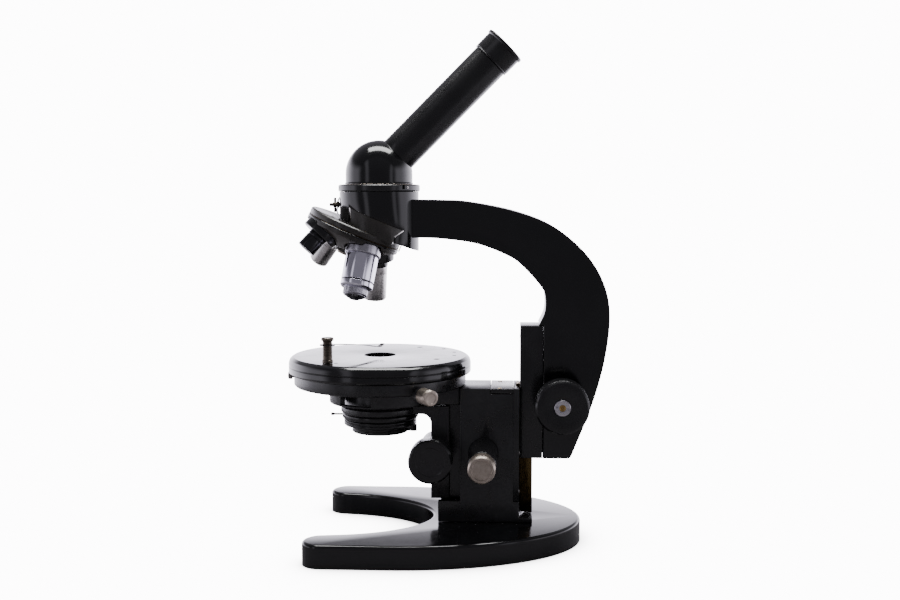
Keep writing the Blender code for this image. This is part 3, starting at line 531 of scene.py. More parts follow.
NICKEL_GREY = turned_metal("grey_nickel", "chrome", (0.42, 0.41, 0.45), (0.24, 0.23, 0.26), 0.24, 0.15)
CHROME = turned_metal("chromium", "chrome", (0.76, 0.74, 0.84), (0.52, 0.50, 0.60), 0.10, 0.06, 0.2)
BARREL_GREY = turned_metal("barrel_grey", "warm_nickel", (0.62, 0.60, 0.59), (0.36, 0.34, 0.32), 0.30, 0.15)
BLACK_CHROME = turned_metal("black_chromium", "satin_black", (0.055, 0.055, 0.058), (0.020, 0.020, 0.022),
                            0.16, 0.06)
CLIP_STEEL = turned_metal("clip_steel", "steel", (0.115, 0.100, 0.082), (0.045, 0.038, 0.030), 0.34)
STEEL = turned_metal("blued_steel", "steel", (0.30, 0.29, 0.28), (0.12, 0.11, 0.10), 0.33)
BRASS = turned_metal("screw_brass", "tarnished_brass", (0.50, 0.36, 0.15), (0.16, 0.10, 0.04), 0.30)
OLD_BRASS = brass_strip_material()
GLASS = glass_material()

CAD_FINISH = {
    "black_enamel": ENAMEL,
    "satin_black": SATIN,
    "tarnished_brass": BRASS,
    "warm_nickel": NICKEL,
    "chrome": CHROME,
    "steel": STEEL,
    "lens_glass": GLASS,
}
for part in frame["record"]["subparts"]:
    node = frame["nodes"].get(part["node"])
    if node is not None and node.type == "MESH":
        node.data.materials.clear()
        node.data.materials.append(CAD_FINISH[part["material_slot"]])


def slotted_screw(name, body, matrix, radius, height, material, turn=0.0):
    """A countersunk or cheese-head screw with a sawn slot, its head's foot at local z = 0."""
    head = lathe(name, body, material, matrix,
                 [(0, height), (radius - 0.25, height), (radius, height - 0.3), (radius, 0), (0, 0)],
                 steps=40, soft=0.12)
    saw = tool(box_mesh((-radius * 1.2, -radius * 0.14, height - 0.45),
                        (radius * 1.2, radius * 0.14, height + 1)),
               matrix @ Matrix.Rotation(math.radians(turn), 4, "Z"))
    return carve(head, [saw])


# ---------------------------------------------------------------- foot and pillar
def make_base():
    mouth = math.degrees(math.acos(9.0 / 75.4))
    outline = arc(10, 0, 124.8, 74, -90, 90, 120)
    outline += arc(-31, 62, 12, 12, 90, 270, 28)
    outline += arc(-40, 0, 75.4, 50, mouth, -mouth, 80)[1:-1]
    outline += arc(-31, -62, 12, 12, 90, 270, 28)
    bm = slab_mesh(outline, 0.0, 15.0, "Z", 2.2, 6, bottom_too=False)
    finish_object("foot_casting", bm, UPRIGHT, ENAMEL, "stand", ["base"])


def make_pillar():
    side = PILLAR_HALF
    column = block("pillar_casting", "stand", PILLAR_BLACK, (54.6, -side, 24), (89.6, side, 104.4),
                   ["pillar"], 0.0)
    plinth = tool(box_mesh((40, -side, 15.3), (93.6, side, 29)))
    heel = tool(box_mesh((90, -side, 15.3), (102.3, side, 18.2)))
    carve(column, [plinth, heel], "UNION")
    cuts = [
        tool(box_mesh((39, -13.3, 15), (54.3, 13.3, 40))),
        tool(box_mesh((62, -13.5, 46), (86, 13.5, 100.6))),
        tool(box_mesh((76, -13.5, 99), (86, 13.5, 103))),
        tool(box_mesh((74.4, -20, 101.1), (95, 20, 110))),
        tool(box_mesh((84, -2.8, 68.8), (92, 2.8, 75.9))),
        tool(box_mesh((91.2, -7.3, 17.6), (95, 7.3, 35))),
        cylinder_tool(side_frame(70, 62.0, -1), 3.3, -22, 22, 32),
    ]
    carve(column, cuts, round_by=0.35)
    block("pillar_top", "stand", LACQUER, (74.7, -side, 101.4), (89.5, side, 104.4), ["pillar_cap"], 0.35)
    for i, y in enumerate((-15.2, 15.2)):
        slotted_screw("cap_screw_%d" % i, "stand", at(80.6, y, 104.15), 1.5, 0.5, BRASS, 35 + 50 * i)
    half = [(89.64, side), (93.5, side), (93.5, 6.0), (91.4, 7.0)]
    guide = slab("rear_guide", "stand", PILLAR_BLACK, mirrored(half), 29.3, 104.4, "Z", ["guide_plate"],
                 0.3, 2)
    carve(guide, [tool(box_mesh((89, -2.8, 68.8), (92, 2.8, 75.9)))])
    for i, z in enumerate((35, 61, 96)):
        for y in (-13, 13):
            slotted_screw("guide_screw_%d_%d" % (i, y > 0), "stand", at(93.4, y, z, (90, "Y")), 2.1, 0.35,
                          STEEL, 20 * i)


def make_fine_focus():
    for name, side in (("near", -1), ("far", 1)):
        axis = side_frame(*joint_point("fine_knob_turn")[::2], side)
        lathe("fine_bearing_" + name, "stand", SATIN, axis,
              [(3.4, 56.0), (8.3, 56.0), (9.0, 55.3), (9.6, 24), (9.8, 21.6), (10.0, 20.8), (10.0, 18.5),
               (3.4, 18.5)],
              ["fine_boss_" + name], closed=True)
        knob = [(0, 67.9), (5.6, 67.9), (6.1, 67.7), (6.4, 68.2), (7.7, 68.2), (8.7, 67.1), (8.7, 65.9),
                (8.35, 65.6), (8.35, 65.1), (8.7, 64.8), (8.7, 57.2), (8.0, 56.3), (0, 56.3)]
        lathe("fine_milled_" + name, "fine_spindle_set", NICKEL, axis, knob, ["fine_knob_" + name],
              steps=240, soft=0.15, ripple=knurl(57.6, 64.6, 60, 0.25))
    half = [(91.7, 6.5), (93.6, 5.7), (93.9, 6.2), (102.3, 9.0)]
    slab("dovetail_strip", "fine_slide_set", OLD_BRASS, mirrored(half), 19.6, 106, "Z", ["fine_slide"], 0.2,
         2)


# ---------------------------------------------------------------- limb and coarse focus
def make_limb():
    outer = [(20, 228.0), (40, 227.8), (59.6, 226.7), (90.1, 220.6), (115.2, 210.5), (135.7, 193.4),
             (147.8, 174.2), (152.2, 153), (149.4, 124.2), (141.4, 93.8), (128.4, 60.0)]
    inner = [(106.1, 146.4), (109.7, 154.7), (110, 163.9), (107.5, 171), (95.2, 184.7), (84.9, 191.8),
             (64.7, 199.3), (40, 202.6), (20, 203.0)]
    outline = spline(outer, 9) + [(127.3, 57.9), (125.6, 57.2), (109.1, 57.2), (109.1, 145.6),
                                  (106.4, 145.6)]
    outline += spline(inner, 9)
    bm = slab_mesh(outline, -LIMB_HALF, LIMB_HALF, "Y", 3.6, 6)
    limb = finish_object("limb_casting", bm, UPRIGHT, ENAMEL, "limb_set", ["limb"])
    x, _, z = joint_point("coarse_knob_turn")
    carve(limb, [
        cylinder_tool(UPRIGHT, 26.35, 180, 250, 128),
        tool(box_mesh((100, -5.2, 40), (115.2, 5.2, 141))),
        cylinder_tool(side_frame(x, z, -1), 8.6, -6, 6, 48),
        cylinder_tool(side_frame(x, z, -1), 3.4, -20, 20, 32),
    ])
    body = block("dovetail_block", "limb_set", SATIN, (93.9, -12.2, 57.2), (108.8, 12.2, 145.3),
                 ["slide_block"], 0.0)
    half = [(92.0, 6.0), (93.9, 6.6), (102.6, 9.4), (102.6, 4.6), (110, 4.6)]
    carve(body, [tool(slab_mesh(mirrored(half), 50, 141.5, "Z", 0))], round_by=0.4)
    for i, height in enumerate((66, 136)):
        for y in (-9.6, 9.6):
            slotted_screw("block_screw_%d_%d" % (i, y > 0), "limb_set", at(94.05, y, height, (-90, "Y")),
                          1.35, 0.3, STEEL, 15)


def make_coarse_focus():
    for name, side in (("near", -1), ("far", 1)):
        x, _, z = joint_point("coarse_knob_turn")
        axis = side_frame(x, z, side)
        lathe("pinion_bearing_" + name, "limb_set", SATIN, axis,
              [(3.4, 29.2), (10.5, 29.2), (11.5, 28.2), (11.6, 16.5), (12.0, 16.0), (12.0, 13.1),
               (3.4, 13.1)],
              ["pinion_bush_" + name], closed=True)
        knob = [(5.5, 44.5), (6.4, 44.7), (13.0, 45.0), (15.9, 45.0), (17.2, 43.9), (17.2, 42.9),
                (16.9, 42.7),
                (16.9, 42.2), (17.2, 42.0), (17.2, 31.2), (16.3, 30.0), (3.4, 30.0), (3.4, 41.5),
                (5.5, 41.5)]
        lathe("coarse_milled_" + name, "coarse_pinion", SATIN, axis, knob, ["coarse_knob_" + name],
              steps=360, soft=0.2, closed=True, ripple=knurl(31.6, 41.9, 90, 0.3))
        cap = lathe("pin_face_nut_" + name, "coarse_pinion", NUT_GREY, axis,
                    [(2.25, 45.35), (4.9, 45.4), (5.2, 45.1), (5.2, 41.8), (2.25, 41.8)],
                    ["knob_nut_" + name],
                    closed=True, soft=0.12)
        turn = Matrix.Rotation(math.radians(-13), 4, "Z")
        carve(cap, [cylinder_tool(axis @ turn @ Matrix.Translation((k * 3.75 * MM, 0, 0)), 0.75, 43.6, 47,
                                  24)
                    for k in (-1, 1)])
        lathe("end_screw_" + name, "coarse_pinion", BRASS, axis,
              [(0, 43.9), (0.5, 44.0), (1.4, 45.1), (1.8, 45.3), (2.05, 45.1), (2.05, 41.8), (0, 41.8)],
              ["nut_screw_" + name], 48, 0.08)


# ---------------------------------------------------------------- head and nosepiece
def make_head():
    profile = [(17.4, 233.12), (HEAD_R, 233.12), (HEAD_R, 185), (12, 185), (12, 228.7), (17.4, 228.7)]
    head = lathe("head_casting", "limb_set", ENAMEL, UPRIGHT, profile, ["head_body"], 144, 0.35, True)
    half = [(32.6, -28.85), (28.8, -34.85), (28.8, -46.85)]
    flanks = half + [(2 * FLANK_X - x, z) for x, z in reversed(half)]
    carve(head, [
        tool(box_mesh((-60, -40, -120), (60, 40, -38.45)), TURRET),
        tool(slab_mesh(flanks, -30, 30, "Y", 0), TURRET),
        cylinder_tool(at(-25, 0, joint_point("nosepiece_clamp_turn")[2], (90, "Y")), 1.4, -6, 5, 24),
    ], round_by=0.3)
    ring = [(17.4, 237.8), (26.0, 237.8), (27.0, 237.1), (27.0, 233.9), (26.5, 233.2), (17.4, 233.2)]
    ring = lathe("ring_casting", "ring_clamp", LACQUER, UPRIGHT, ring, ["clamp_ring"], 144, 0.2, True)
    carve(ring, [tool(box_mesh((25.6, -1.1, 234.6), (28, 1.1, 239)), at(0, 0, 0, (-48, "Z")))])
    # A thin nickel ring on top of the clamp ring: a painted highlight standing for the bright line that light
    # draws along the ring's top edge.
    lathe("ring_highlight_line", "ring_clamp", NICKEL, UPRIGHT, [(22.9, 237.95), (24.1, 237.95), (24.1, 237.7),
                                                       (22.9, 237.7)],
          steps=128, soft=0.08, closed=True)
    for i, azimuth in enumerate((-120, 0, 120)):
        a = math.radians(azimuth - 40)
        slotted_screw("ring_screw_%d" % i, "ring_clamp",
                      at(26.75 * math.cos(a), 26.75 * math.sin(a), 235.6, (azimuth - 40, "Z"), (90, "Y")),
                      1.1, 0.35, STEEL, 60 * i)


def make_nosepiece():
    disc = [(8.0, -38.75), (30.9, -38.75), (31.8, -39.55), (31.8, -42.75), (31.2, -43.05), (8.0, -43.05)]
    holder = lathe("holder_disc", "nosepiece", CONE, TURRET, disc, ["nosepiece_holder"], 144, 0.15, True)
    half = [(32.0, -29.15), (28.5, -34.75), (28.5, -39.85)]
    flanks = half + [(2 * FLANK_X - x, z) for x, z in reversed(half)]
    block_tool = tool(slab_mesh(flanks, -30, 30, "Y", 0), TURRET)
    carve(block_tool, [cylinder_tool(UPRIGHT, HEAD_R, 180, 250, 144)], "INTERSECT")
    hub = cylinder_tool(TURRET, 8.2, -42.85, -39.05, 48)
    carve(holder, [hub, block_tool], "UNION")
    carve(holder, [cylinder_tool(UPRIGHT, 8.0, 180, 240, 48), cylinder_tool(TURRET, 3.3, -62, -32, 32)],
          round_by=0.25)

    # Thin bright nickel strips along the dovetail's flanks: painted highlights standing for the light caught by
    # the slot's bevelled edges.
    for i in range(2):
        line = [(32.15, -29.2), (28.6, -34.9), (28.1, -34.75), (31.6, -29.0)]
        line = [(2 * FLANK_X - px, pz) for px, pz in line] if i else line
        flank_highlight = slab("dovetail_flank_highlight_%d" % i, "nosepiece", PAINTED_HIGHLIGHT_NICKEL, line, -30, 30, "Y", (), 0, 1,
                      TURRET)
        carve(flank_highlight, [cylinder_tool(UPRIGHT, 26.24, 180, 250, 144)], "INTERSECT")
    lathe("holder_seam", "nosepiece", OLD_BRASS, TURRET,
          [(30.5, -43.04), (31.85, -43.04), (31.85, -43.28), (30.5, -43.28)], steps=144, soft=0.02,
          closed=True)

    body = [(3.3, -43.35), (31.5, -43.35), (32.0, -43.85), (32.0, -46.75), (31.3, -47.35), (14.0, -55.85),
            (12.6, -56.15),
            (8.3, -56.45), (8.0, -56.75), (8.0, -58.15), (7.6, -58.55), (3.3, -58.55)]
    turret = lathe("turret_casting", "turret_set", CONE, TURRET, body, ["turret"], 144, 0.25, True)
    cuts = []
    for place in range(4):
        axis = objective_frame(place)
        cuts.append(cylinder_tool(axis, 12.9, -77, -SEAT, 96))
        cuts.append(cylinder_tool(axis, 7.9, -77, -32, 48))
    carve(turret, cuts, round_by=0.2)
    lathe("turret_rim", "turret_set", LACQUER, TURRET,
          [(31.7, -43.4), (32.05, -43.75), (32.05, -44.75), (31.7, -44.85)], steps=144, soft=0.05,
          closed=True)
    lathe("stop_pin", "nosepiece", CLIP_STEEL, TURRET @ Matrix.Translation((32.75 * MM, 0, 0)),
          [(0, -39.35), (0.4, -39.35), (0.4, -44.5), (0, -44.5)], ["click_spring"], 24, 0.05)
    lathe("turret_screw_head", "nosepiece", NICKEL, TURRET,
          [(0, -33), (3.0, -33), (3.0, -58.85), (5.5, -58.85), (5.5, -59.85), (4.9, -60.35), (0, -60.35)],
          ["turret_screw"], 64, 0.15)


def objective_frame(place):
    spin = Matrix.Rotation(math.radians(FIRST_PLACE - 90 * place), 4, "Z")
    return TURRET @ spin @ Matrix.Rotation(-math.radians(TURRET_TILT), 4, "Y")


def objective(name, place, parts):
    """A stack of turned pieces on one axis: (suffix, material, profile, knurl)."""
    axis = objective_frame(place)
    for suffix, material, profile, ripple in parts:
        lathe("%s_%s" % (name, suffix), "turret_set", material, axis, profile,
              [name] if suffix == "barrel" else (),
              steps=192 if ripple else 96, soft=0.15, closed=profile[0][0] > 0, ripple=ripple)


def make_objectives():
    top = -53.35
    objective("objective_low", 0, [
        ("collar", LACQUER, [(7.0, top), (11.4, top), (12.0, top - 0.6), (12.0, -60.4), (11.5, -61.0),
                             (7.0, -61.0)], None),
        ("neck", LACQUER, [(7.2, -60.8), (8.2, -60.9), (8.2, -65.0), (7.9, -65.4), (7.2, -65.4)], None),
        ("barrel", BARREL_GREY, [(4.4, -51), (7.6, -51), (7.6, -65.3), (7.8, -65.45), (7.8, -69.8),
                                 (7.6, -70.0), (7.6, -70.4),
                            (7.8, -70.6), (7.8, -88.2), (7.2, -89.0), (6.6, -89.2), (4.6, -89.2),
                            (4.4, -88.5)], None),
        ("front_lens", GLASS, [(0, -87.1), (4.3, -87.1), (4.3, -87.9), (0, -88.2)], None),
    ])
    objective("objective_immersion", 1, [
        ("collar", NICKEL_GREY, [(7.0, top), (11.2, top), (11.6, top - 0.4), (11.6, -58.9), (11.2, -59.4),
                                 (7.0, -59.5)],
         None),
        ("barrel", CHROME, [(4.4, -51), (7.6, -51), (7.6, -59.3), (10.5, -59.5), (10.7, -60.2),
                            (10.6, -76.6),
                            (10.45, -76.8), (4.4, -76.8)], None),
        ("groove", LACQUER, [(5.0, -76.6), (10.25, -76.6), (10.25, -77.8), (5.0, -77.8)], None),
        ("ring", CHROME, [(4.4, -77.6), (10.4, -77.6), (10.6, -77.8), (10.6, -80.5), (9.7, -81.5),
                          (8.4, -81.8),
                          (4.4, -81.8)], None),
        ("grip", NICKEL_GREY, [(4.4, -81.7), (7.8, -81.7), (8.0, -82.0), (8.0, -85.6), (7.6, -86.2),
                               (4.4, -86.4)],
         knurl(-85.7, -81.9, 56, 0.16)),
        ("nose", NICKEL_GREY, [(0, -86.2), (7.2, -86.3), (7.1, -86.75), (5.0, -87.8), (3.0, -88.8),
                               (2.6, -88.95),
                               (1.3, -89.0), (1.05, -88.7), (0, -88.6)], None),
    ])
    objective("objective_scan", 2, [
        ("collar", LACQUER, [(5.0, top), (11.7, top), (12.3, -54.0), (12.3, -58.7), (11.7, -59.3),
                             (5.0, -59.3)],
         knurl(-58.6, -54.1, 60, 0.2)),
        ("barrel", BLACK_CHROME, [(4.2, -51), (5.2, -51), (5.2, -59.2), (6.4, -59.25), (6.4, -61.6),
                                  (6.1, -61.8),
                                  (6.1, -62.2), (6.4, -62.4), (6.4, -71.0), (6.0, -71.5), (4.6, -71.5),
                                  (4.2, -71.0)], None),
        ("front_lens", GLASS, [(0, -69.5), (4.1, -69.5), (4.1, -70.2), (0, -70.5)], None),
    ])
    objective("objective_high", 3, [
        ("collar", LACQUER, [(6.0, top), (11.7, top), (12.3, -54.0), (12.3, -58.0), (11.7, -58.6),
                             (6.0, -58.6)],
         knurl(-57.9, -54.1, 60, 0.2)),
        ("barrel", BARREL_GREY, [(4.4, -51), (6.2, -51), (6.2, -58.4), (6.6, -58.5), (6.6, -64.0),
                                 (6.4, -64.2), (6.4, -64.6),
                            (6.6, -64.8), (6.6, -79.9), (5.9, -80.6), (5.5, -80.7), (3.0, -80.7),
                            (2.8, -80.2), (2.8, -74)],
         None),
        ("front_lens", GLASS, [(0, -79.4), (2.7, -79.4), (2.7, -80.1), (0, -80.2)], None),
    ])


def make_clamp_screw():
    x, _, z = joint_point("nosepiece_clamp_turn")
    axis = at(0, 0, z, (-90, "Y"))
    spindle = [(0, 33.2), (0.7, 33.2), (1.1, 32.8), (1.1, 30.9), (1.7, 30.7), (1.7, 28.4), (2.2, 28.2),
               (2.2, 26.8),
               (1.1, 26.7), (1.1, 21), (0, 21)]
    lathe("clamp_spindle", "clamp_screw", CLIP_STEEL, axis, spindle, ["nosepiece_clamp"], 40, 0.1)
    lathe("clamp_cross_pin", "clamp_screw", CLIP_STEEL, at(-29.5, 0, z),
          [(0, 4.6), (0.6, 4.6), (0.85, 4.3), (0.85, -4.7), (0.6, -5.0), (0, -5.0)], (), 28, 0.1)
    route = [(-25.9, 229.6), (-27.0, 227.6), (-27.4, 226.2)]
    leaf = spline(route, 5)
    lower = [(-27.5, 222.7), (-28.0, 220.8), (-27.3, 218.6), (-25.6, 217.6)]
    for name, run in (("upper", leaf), ("lower", spline(lower, 6))):
        outline = run + [(px - 0.55, pz) for px, pz in reversed(run)]
        slab("catch_spring_" + name, "limb_set", LACQUER, outline, -2.2, 2.2, "Y", (), 0.1, 1)


# ---------------------------------------------------------------- inclined head
def make_inclined_head():
    dome = [(0, DOME_Z + DOME_R)] + arc(0, DOME_Z, DOME_R, DOME_R, 90, 0, 40)[1:]
    dome += [(DOME_R, 239.3), (22.6, 238.7), (22.6, 238.1), (17.0, 238.1), (17.0, 229.0), (0, 229.0)]
    housing = lathe("dome_casting", "tube_head", ENAMEL, UPRIGHT, dome, ["prism_housing"], 144, 0.25)
    carve(housing, [
        cylinder_tool(UPRIGHT, 12.5, 220, 246, 64),
        cylinder_tool(TUBE, 12.5, -8, 16, 64),
        cylinder_tool(TUBE, 12.6, 15.5, 40, 96),
    ], round_by=0.25)
    tube = [(11.85, 103.6), (12.3, 103.6), (12.45, 103.4), (12.45, 24), (12.5, 23.8), (12.5, 16.2),
            (11.85, 16.2)]
    lathe("tube_barrel", "tube_head", TUBE_BLACK, TUBE, tube, ["tube"], 128, 0.1, True)
    body = [(8.9, 118.05), (11.0, 118.3), (13.7, 118.3), (14.2, 117.8), (14.2, 116.4), (13.9, 116.0),
            (13.35, 115.8),
            (13.35, 105.2), (13.1, 105.0), (13.1, 104.6), (13.35, 104.4), (13.35, 103.9), (11.55, 103.9),
            (11.55, 70.0),
            (10.1, 70.0), (10.1, 110.0), (6.8, 111.0), (6.8, 116.0), (7.4, 116.6)]
    lathe("eyepiece_mount", "eyepiece", MOUNT_BLACK, TUBE, body, ["eyepiece_body"], 128, 0.2, True)
    lens = [(0, 115.4), (2, 115.33), (4, 115.1), (5.5, 114.6), (6.5, 114.1), (6.5, 112.0), (0, 112.0)]
    lathe("eye_lens_glass", "eyepiece", GLASS, TUBE, lens, ["eye_lens"], 64, 0.1)


# ---------------------------------------------------------------- stage
def make_stage():
    section = [(50.0, 112.7), (57.1, 112.7), (57.5, 112.3), (57.5, 105.7), (56.5, 104.7), (34.0, 104.7),
               (34.0, 93.3),
               (33.5, 92.8), (30.0, 92.8), (30.0, 105.7), (50.0, 105.7)]
    bracket = lathe("stage_ring", "stand", PILLAR_BLACK, UPRIGHT, section, ["stage_bracket"], 160, 0.3,
                    True)
    opening = [(0, 0)] + arc(0, 0, 60, 60, 226, 266, 12)
    joins = [tool(box_mesh((31, -14, 92.8), (54.3, 14, 105.2), 0.6))]
    cuts = [tool(slab_mesh(opening, 94.0, 103.4, "Z", 0))]
    for name, side in (("near", -1), ("far", 1)):
        axis = screw_frame(side)
        joins.append(cylinder_tool(axis, 4.7, 54, 63, 64))
        cuts.append(cylinder_tool(axis, 2.2, 48.6, 70, 32))
        head = [(0, 75.2), (3.0, 75.2), (3.3, 75.5), (4.6, 75.5), (5.1, 74.9), (5.1, 74.2), (4.8, 73.9),
                (4.8, 73.5),
                (5.1, 73.2), (5.1, 64.2), (4.6, 63.5), (1.9, 63.5), (1.9, 50.3), (0, 49.7)]
        lathe("milled_screw_" + name, "screw_" + name, NICKEL, axis, head, ["centring_screw_" + name],
              216, 0.15, ripple=knurl(64.6, 73.1, 50, 0.22))
    carve(bracket, joins, "UNION")
    plunger = plunger_frame()
    cuts.append(cylinder_tool(plunger, 2.0, 45, 70, 32))
    carve(bracket, cuts, round_by=0.25)
    head = [(0, 62.4), (2.1, 62.4), (2.8, 61.8), (2.8, 59.9), (1.7, 59.8), (1.7, 50.3), (0, 49.8)]
    lathe("plunger_button", "stand", STEEL, plunger, head, ["spring_plunger"], 48, 0.15)

    table = [(10.5, 123.7), (10.8, 124.0), (57.8, 124.0), (59.2, 123.2), (60.2, 122.2), (60.75, 120.8),
             (61.0, 119.3),
             (61.0, 118.2), (60.65, 118.0), (60.65, 117.7), (61.0, 117.5), (61.0, 113.9), (60.2, 113.0),
             (10.5, 113.0)]
    table = lathe("round_table", "stage", TABLE_BLACK, UPRIGHT, table, ["stage_plate"], 200, 0.12, True)
    holes = ((-29, -41, 2.2), (23.7, 39, 1.9), (39.3, -19.1, 2.0), (41.2, 31, 1.6), (49.2, 14.7, 1.4),
             (50, -1.3, 1.4),
             (-23.7, -41, 1.5))
    carve(table, [cylinder_tool(at(x, y, 0), r, 110, 130, 32) for x, y, r in holes])


def screw_frame(side):
    x, y, z = joint_point("centring_screw_near_turn" if side < 0 else "centring_screw_far_turn")
    return at(0, 0, z, (math.degrees(math.atan2(y, x)), "Z"), (90, "Y"))


def plunger_frame():
    low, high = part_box("spring_plunger")
    return at(0, 0, (low[2] + high[2]) / 2 / MM, (-90, "Y"))


def make_clip():
    x, y, _ = joint_point("clip_swivel")
    here = at(x, y, 0)
    post = [(0, 140.35), (3.1, 140.4), (3.5, 140.6), (4.0, 140.2), (4.0, 138.9), (3.7, 138.5), (3.1, 138.3)]
    for k in range(9):
        z = 137.9 - 1.05 * k
        post += [(3.1, z), (2.88, z - 0.15), (2.88, z - 0.35), (3.1, z - 0.5)]
    post += [(3.1, 126.4), (3.5, 126.0), (3.5, 124.3), (1.9, 124.3), (1.9, 115), (0, 115)]
    lathe("clip_pillar", "stage_clip", CLIP_STEEL, here, post, ["clip_post"], 64, 0.05)
    arm = at(x, y, 0, (CLIP_SWING, "Z"))
    top = spline([(0, 136.2), (20, 134.2), (42, 131.2), (57, 128.4), (62, 128.0), (66, 129.4)], 10)
    low = [(px, pz - 0.5) for px, pz in reversed(top)]
    strip = slab("clip_leaf", "stage_clip", LACQUER, top + low, -2.4, 2.4, "Y", ["clip_arm"], 0.1, 2, arm)
    taper = tool(slab_mesh([(8, 2.45), (66.5, 1.4), (66.5, 6), (8, 6)], 120, 140, "Z", 0), arm)
    other = tool(slab_mesh([(8, -6), (66.5, -6), (66.5, -1.4), (8, -2.45)], 120, 140, "Z", 0), arm)
    carve(strip, [cylinder_tool(here, 4.9, 135.4, 136.2, 48)], "UNION")
    carve(strip, [taper, other, cylinder_tool(here, 3.4, 120, 140, 48)])
    # The arm's upturned end in bright nickel: a painted glint standing for the light caught by the tip.
    tip = [(62.2, 128.06), (63.6, 128.4), (65.0, 128.9), (66.0, 129.42)]
    outline = tip + [(px, pz - 0.66) for px, pz in reversed(tip)]
    slab("clip_tip_glint", "stage_clip", PAINTED_HIGHLIGHT_NICKEL, outline, -1.6, 1.6, "Y", (), 0.08, 1, arm)


# ---------------------------------------------------------------- substage
def make_substage():
    profile = [(47.3, 29.3), (47.3, 91.5), (22.0, 91.5), (22.0, 86.0), (29.0, 86.0)]
    profile += arc(29.0, 80.0, 6.0, 6.0, 90, 0, 12)[1:]
    profile += [(35.0, 29.3)]
    bracket = slab("substage_casting", "substage", PILLAR_BLACK, profile, -12, 12, "Y",
                   ["substage_bracket"], 0.4, 3)
    x, _, z = joint_point("condenser_knob_turn")
    axis = side_frame(x, z, -1)
    ring = [(15, 99.5), (24.2, 99.5), (24.2, 90.7), (25.4, 90.7), (26.4, 89.7), (26.4, 86.6), (25.6, 85.8),
            (15, 85.8)]
    sleeve = tool(lathe_mesh(soften(ring, 0.3, True), 128, True))
    carve(bracket, [sleeve, cylinder_tool(axis, 9.5, -12, 12, 64), cylinder_tool(axis, 6.5, 11, 27.4, 64)],
          "UNION")
    half = [(44.3, 8.5), (47.3, 6.4), (50, 6.4)]
    carve(bracket, [
        cylinder_tool(UPRIGHT, 19.5, 70, 103, 128),
        tool(slab_mesh(mirrored(half), 20, 95, "Z", 0)),
        tool(box_mesh((40.9, -3.9, 20), (45, 3.9, 86))),
        cylinder_tool(axis, 6.9, -3.9, 3.9, 48),
        cylinder_tool(axis, 2.5, -20, 30, 32),
    ])
    knob = [(0, 41.7), (9.0, 41.7), (9.6, 42.0), (13.0, 42.0), (14.25, 41.0), (14.25, 39.9), (13.95, 39.7),
            (13.95, 39.3),
            (14.25, 39.1), (14.25, 29.2), (13.4, 28.0), (2.5, 28.0), (2.5, 39.3), (0, 39.3)]
    lathe("condenser_milled", "condenser_pinion_set", SATIN, axis, knob, ["condenser_knob"], 320, 0.2,
          ripple=knurl(29.6, 39.0, 80, 0.28))

    mount = [(6.9, 119.6), (7.5, 119.2), (7.5, 104.4), (17.4, 98.0), (19.2, 96.0), (19.2, 81.7),
             (23.8, 81.7),
             (24.4, 81.1), (24.4, 79.9), (24.0, 79.7), (24.0, 79.2), (24.4, 79.0), (24.4, 77.9),
             (23.8, 77.3), (14.0, 77.3),
             (14.0, 90.0), (5.6, 101.0), (5.6, 117.0), (6.9, 117.0)]
    mount = lathe("condenser_mount", "substage", LACQUER, UPRIGHT, mount, ["condenser_body"], 160, 0.15,
                  True)
    pivot = joint_point("filter_swing")[0]
    carve(mount, [cylinder_tool(at(pivot, 0, 0), 1.5, 70, 80.4, 24)])
    ring = [(19.5, 85.5), (24.9, 85.5), (25.5, 84.9), (25.5, 82.6), (24.9, 82.0), (19.5, 82.0)]
    lathe("iris_collar", "iris", SATIN, UPRIGHT, ring, ["iris_ring"], 240, 0.15, True,
                 knurl(82.8, 84.7, 80, 0.2))
    lever = at(0, 0, 83.4, (-90, "Y"))
    lathe("iris_pin", "iris", STEEL, lever,
          [(0, 33.6), (0.7, 33.6), (1.0, 33.2), (1.0, 31.8), (0.65, 31.4), (0.65, 24.6), (0, 24.6)], (), 28,
          0.08)
    ring = [(16.0, 77.0), (18.2, 77.0), (19.0, 76.2), (19.0, 75.2), (18.7, 75.0), (18.7, 74.6),
            (19.0, 74.4), (19.0, 73.0),
            (18.2, 72.3), (14.0, 72.3), (14.0, 73.4), (16.0, 73.4)]
    holder = lathe("filter_ring", "filter", LACQUER, UPRIGHT, ring, ["filter_holder"], 128, 0.12, True)
    here = at(pivot, 0, 0)
    carve(holder, [
        tool(box_mesh((-5, -2.2, 72.8), (0, 2.2, 76.7)), here),
        cylinder_tool(here, 2.4, 72.6, 76.9, 40),
        cylinder_tool(here, 1.2, 76, 80, 24),
    ], "UNION")


# ---------------------------------------------------------------- studio
def seen_only(tree, for_camera, otherwise):
    """One shader for what the camera sees directly, another for the light and the reflections."""
    path = tree.nodes.new("ShaderNodeLightPath")
    mix = tree.nodes.new("ShaderNodeMixShader")
    tree.links.new(path.outputs["Is Camera Ray"], mix.inputs[0])
    tree.links.new(otherwise, mix.inputs[1])
    tree.links.new(for_camera, mix.inputs[2])
    return mix.outputs[0]


WHITE = 13.0           # how bright the paper looks to the camera
FLOOR_R = 0.6


